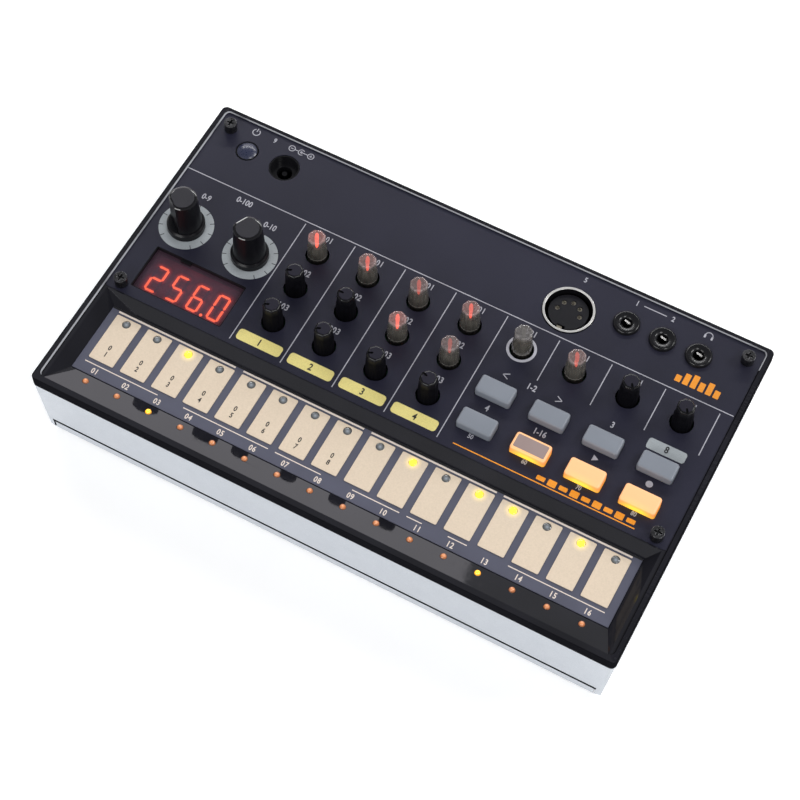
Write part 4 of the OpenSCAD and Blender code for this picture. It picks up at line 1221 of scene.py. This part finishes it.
def step_inlay():
    """Grey inlay in the top of the step key, faintly lit through."""
    at, top = middle("step_button"), top_of("step_button")
    inlay = plate(*mm(10.0, 4.5), top - 0.02 * MM, top + 0.03 * MM, 0.35 * MM)
    grey = plastic("key_inlay", (0.235, 0.205, 0.215), 0.5, 0.35, 0.004, 0.08)
    grey.glow((1.0, 0.4, 0.12), 0.09)
    to_piece("step_key_inlay", move(inlay, at.x, at.y), grey, "step")


KNOB_STEPS = 108
KNOB_RIBS = 18
KNOB_LEVELS = (-3.1, 0.3, 0.35, 2.0, 3.6, 4.9, 5.3, 7.5, 9.55)
# depth below the top and share of the radius of the rings that round the crown off
CROWN = ((0.42, 0.965), (0.2, 0.9), (0.06, 0.82), (0, 0.72), (0, 0.55), (0, 0.4), (0, 0.25), (0, 0.12))


def grip_radius(angle, z, pointer):
    """Radius of a small knob: ribbed and wide below, an eight-sided crown above, narrower to the top."""
    rise = (z - DECK_Z) / MM
    if rise < 0.3:
        return 3.1 * MM
    if rise < 5.0:
        return (3.16 - 0.03 * rise + 0.05 * cos(KNOB_RIBS * angle)) * MM
    round_r = (2.98 - 0.03 * (rise - 5.0)) * MM
    off = (angle - pointer) % (pi / 4) - pi / 8
    return min(round_r, round_r * 0.945 / cos(off))


def small_knob(name, finish, pointer=pi / 2):
    """A small knob lofted through rings; pointer is the direction its crown is turned to."""
    node = name + "_knob"
    at, high = middle(node), top_of(node)
    rings = [(DECK_Z + z * MM, 1.0) for z in KNOB_LEVELS]
    rings += [(high - down * MM, share) for down, share in CROWN]
    bm = bmesh.new()
    bmesh.ops.create_circle(bm, segments=KNOB_STEPS, radius=1)
    loop = bm.edges[:]
    shape_ring(bm.verts, rings[0], pointer)
    bmesh.ops.contextual_create(bm, geom=loop)
    for ring in rings[1:]:
        made = bmesh.ops.extrude_edge_only(bm, edges=loop)["geom"]
        loop = [e for e in made if isinstance(e, bmesh.types.BMEdge)]
        shape_ring([v for v in made if isinstance(v, bmesh.types.BMVert)], ring, pointer)
    bmesh.ops.contextual_create(bm, geom=loop)
    if name in BLACK_KNOBS:
        cut_slot(bm, high, pointer)
    bmesh.ops.recalc_face_normals(bm, faces=bm.faces)
    body = frame["nodes"][node]["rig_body"]
    to_piece(name + "_grip", move(bm, at.x, at.y), finish, body, (node,), 32)


def shape_ring(verts, ring, pointer):
    """Sets one ring of a knob at its level, drawn in by a factor."""
    z, factor = ring
    for v in verts:
        angle = atan2(v.co.y, v.co.x)
        r = grip_radius(angle, z, pointer) * factor
        v.co = (r * cos(angle), r * sin(angle), z)


def cut_slot(bm, high, pointer):
    """Sinks a narrow slot into the crown, on the side the knob points to."""
    for v in bm.verts:
        off = (atan2(v.co.y, v.co.x) - pointer + pi) % TURN - pi
        out = v.co.to_2d().length
        if v.co.z > high - 0.45 * MM and out > 1.0 * MM and abs(off) * out < 0.3 * MM:
            v.co.z = high - 0.5 * MM


def clear_core(name, strength):
    """Light guide in a clear knob, glowing red where the lamp below is lit, and the knob's dark stem."""
    node = name + "_knob"
    at, high = middle(node), top_of(node)
    body = frame["nodes"][node]["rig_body"]
    low, slim, wide = DECK_Z + 6.0 * MM, 0.5 * MM, 0.65 * MM
    profile = [(0, low), (slim, low), (slim, low + 2.0 * MM)]
    profile += [(wide, high - 0.9 * MM), (wide, high - 0.4 * MM), (0, high - 0.3 * MM)]
    bm = lathe(profile, 16)
    bmesh.ops.scale(bm, vec=(1, 2.6, 1), verts=bm.verts)
    bmesh.ops.transform(bm, matrix=place(at.x, at.y, 0, radians(26)), verts=bm.verts)
    if strength:
        finish = core_glow(name + "_core_glow", strength)
    else:
        finish = plastic("core_dark", (0.25, 0.24, 0.22), 0.4)
    to_piece(name + "_core", bm, finish, body)
    stem = ring_profile(0, 1.5 * MM, DECK_Z - 2.8 * MM, DECK_Z + 5.2 * MM)
    turned(name + "_stem", stem, at, FINISHES["part_dark"], body, steps=32)


def dial_rim(bm, top):
    """A shallow slope round a dial's top."""
    tops = [f for f in bm.faces if f.normal.z > 0.99 and f.calc_center_median().z > top - HAIR]
    bmesh.ops.inset_region(bm, faces=tops, thickness=0.42 * MM, use_even_offset=True)
    inner = {v for f in tops for v in f.verts}
    for v in bm.verts:
        if v.co.z > top - HAIR and v not in inner:
            v.co.z = top - 0.11 * MM


def knobs():
    for name, turn in BLACK_KNOBS.items():
        small_knob(name, FINISHES["knob_black"], radians(turn))
    for name, strength in CLEAR_KNOBS.items():
        smoke_and_painted_light = clear_smoke(name + "_smoke", 0.034 * strength) if strength else FINISHES["knob_smoke"]
        small_knob(name, smoke_and_painted_light)
        clear_core(name, strength)
    for node in ("left_dial_knob", "right_dial_knob"):
        softened(node, 0.1, dial_black(node), 3, 12, lambda bm, top=top_of(node): dial_rim(bm, top))


# ---------------- sockets

PIN_CIRCLE = 3.75 * MM


def data_socket():
    """The data socket's shell with a wider rolled edge, its inner walls and lower part in black as painted
    shade in the gap, and its insulator.
    """
    shell, high = middle("data_socket_shell"), top_of("data_socket_shell")

    def rolled(bm):
        for v in bm.verts:
            flat = (v.co - shell).to_2d()
            if v.co.z > high - HAIR and flat.length < 7.8 * MM:
                flat *= 7.42 / 7.55
                v.co.x, v.co.y = shell.x + flat.x, shell.y + flat.y

    piece = softened("data_socket_shell", 0.12, shape=rolled)
    piece.data.materials.append(FINISHES["socket_black"].material)
    # inner walls and lower part of the shell take the black finish: painted shade in the gap round the
    # insulator
    for face in piece.data.polygons:
        inward = (face.center - shell).to_2d().dot(face.normal.to_2d()) < -2.1 * MM
        if inward or face.center.z < high - 3 * MM:
            face.material_index = 1
    grey = plastic("socket_grey", (0.0045, 0.0045, 0.0075), 0.45, Specular_IOR_Level=0.3)
    softened("data_socket_core", 0.12, grey)


def data_contacts():
    """Five tinned contact tubes in the data socket, and the lug in front of them."""
    shell, core = middle("data_socket_shell"), top_of("data_socket_core")
    tube = ring_profile(0.42 * MM, 0.66 * MM, core - 1.3 * MM, core - 0.25 * MM)
    bm = bmesh.new()
    for k in range(5):
        angle = TURN * k / 8
        x, y = shell.x + PIN_CIRCLE * cos(angle), shell.y + PIN_CIRCLE * sin(angle)
        stamp(bm, lathe(tube, 20), place(x, y))
    lug = plate(1.7 * MM, 0.9 * MM, core - 2.6 * MM, core + 0.2 * MM, 0.3 * MM)
    stamp(bm, lug, place(shell.x - 0.2 * MM, shell.y - 6.3 * MM))
    to_piece("data_contacts", bm, metal("tinned_contact", (0.46, 0.42, 0.34), 0.3))


def power_key():
    """A clear blue-grey dome, and a dark ring round its foot."""
    node = "power_button"
    at = middle(node)
    r, rise = mm(3.2, 1.1)
    ball = (r * r + rise * rise) / (2 * rise)
    reach = degrees(asin(r / ball))
    base = top_of(node) - rise
    dome = arc_points(ball, 90 - reach, 90, 10, (0, base + rise - ball))
    foot = base - 2.4 * MM
    profile = [(0, foot), (r, foot), *dome[:-1], (0, base + rise)]
    turned("power_dome", profile, at, FINISHES["power_blue"], "power", (node,), 64)
    ring = ring_profile(r + 0.02 * MM, r + 0.3 * MM, base - 0.9 * MM, base + 0.05 * MM)
    turned("power_ring", ring, at, FINISHES["socket_black"], "power")


JACKS = ("sync_in_jack", "sync_out_jack", "headphone_jack")
JACK_BORE, JACK_BODY_R, JACK_COLLAR_R = mm(1.8, 3.6, 4.25)


def jacks():
    """Rounded collars, and the spring contact seen inside each bore."""
    black = FINISHES["socket_black"]
    lean = Matrix.Rotation(radians(24), 4, "Y") @ Matrix.Rotation(radians(22), 4, "X")
    for node in JACKS:
        at, high = middle(node), top_of(node)
        foot = high - 12.6 * MM
        collar = [
            (JACK_BORE, foot), (JACK_BODY_R, foot), (JACK_BODY_R, DECK_Z - 0.4 * MM),
            (JACK_COLLAR_R, DECK_Z), (JACK_COLLAR_R, DECK_Z + 0.25 * MM),
            *arc_points(0.75 * MM, 0, 110, 7, (JACK_COLLAR_R - 0.85 * MM, high - 0.75 * MM)),
            (2.5 * MM, high - 0.12 * MM), (2.1 * MM, high - 0.3 * MM), (JACK_BORE, high - 0.6 * MM),
        ]
        turned(node + "_collar", collar, at, black, HOUSING, (node,), 64, 30)
        bar = plate(*mm(2.4, 0.6, -0.2, 0.0, 0.25))
        spot = place(at.x + 0.15 * MM, at.y + 1.0 * MM, high - 1.7 * MM)
        bmesh.ops.transform(bar, matrix=spot @ lean, verts=bar.verts)
        to_piece(node + "_contact", bar, FINISHES["contact_metal"])


# ---------------- stage, light and camera

CAMERA_AT = (0.129648, -0.267322, 0.547656)
CAMERA_TURN = (28.8475, -1.0135, 27.9465)
LENS = 89.18
ROOM = ((0.0, 0.5), (0.34, 0.42), (0.62, 0.3), (1.0, 0.22))


def camera():
    data = bpy.data.cameras.new("camera")
    data.lens = LENS
    data.sensor_width = 36
    data.clip_start, data.clip_end = 0.01, 50
    made = new_object("camera", data)
    made.location = CAMERA_AT
    made.rotation_euler = Euler([radians(a) for a in CAMERA_TURN])
    bpy.context.scene.camera = made


def floor():
    bm = bmesh.new()
    bmesh.ops.create_grid(bm, x_segments=1, y_segments=1, size=5)
    mesh = bpy.data.meshes.new("floor")
    move(bm, 0, 0, -0.02 * MM).to_mesh(mesh)
    bm.free()
    paper = Finish("floor_paper", Roughness=0.9)
    paper.two_tone(paper.grain(40), (0.92, 0.92, 0.92), (0.94, 0.94, 0.94))
    paper.glow((1, 1, 1), 0.26)
    mesh.materials.append(paper.material)
    new_object("floor", mesh)


def softbox(name, at, size, power, color=(1, 1, 1)):
    """A rectangular light that looks at the machine."""
    data = bpy.data.lights.new(name, "AREA")
    data.shape = "RECTANGLE"
    data.size, data.size_y = size
    data.energy = power
    data.color = color
    made = new_object(name, data)
    made.location = at
    made.rotation_euler = (Vector(at) - Vector((0, 0, 0.02))).to_track_quat("Z", "Y").to_euler()


def studio():
    """Soft boxes and a room that is bright at the horizon and dimmer overhead."""
    world = bpy.data.worlds.new("studio")
    world.use_nodes = True
    nodes, links = world.node_tree.nodes, world.node_tree.links
    rise = nodes.new("ShaderNodeSeparateXYZ")
    links.new(nodes.new("ShaderNodeTexCoord").outputs["Generated"], rise.inputs[0])
    tones = nodes.new("ShaderNodeValToRGB")
    fill_ramp(tones, [(position, (level * 0.99, level, level * 1.02)) for position, level in ROOM])
    links.new(rise.outputs["Z"], tones.inputs[0])
    links.new(tones.outputs[0], nodes["Background"].inputs["Color"])
    nodes["Background"].inputs["Strength"].default_value = 1.0
    bpy.context.scene.world = world
    softbox("back_panel", (-0.95, 1.5, 0.45), (1.6, 0.62), 4.3, (0.98, 0.94, 1.0))
    softbox("back_softbox", (-0.5, 1.2, 0.8), (2.0, 0.14), 12)
    softbox("right_softbox", (0.95, 0.64, 0.9), (0.55, 0.3), 7)
    softbox("left_softbox", (-0.3, -1.15, 0.77), (0.9, 0.32), 8.5)
    softbox("top_softbox", (0.74, -0.35, 1.05), (0.35, 0.35), 4)
    bpy.context.scene.view_settings.view_transform = "Standard"


# ---------------- the machine

camera()
floor()
studio()
for node_name, slot_name in SLOTS.items():
    dress(node_name, FINISHES[slot_name])
deck_lines()
deck_figures()
dial_scales()
deck_pills()
orange_marks()
tray_marks()
pad_lamps()
slope_lamps()
display()
window_liner()
bezel()
keys()
step_inlay()
knobs()
power_key()
data_socket()
data_contacts()
jacks()
softened("lower_case", 0.25, shape=case_shape)
softened("battery_cover", 0.2, shape=cover_shape)
cover_seam()
softened("panel_screws", 0.16)
screw_rims()
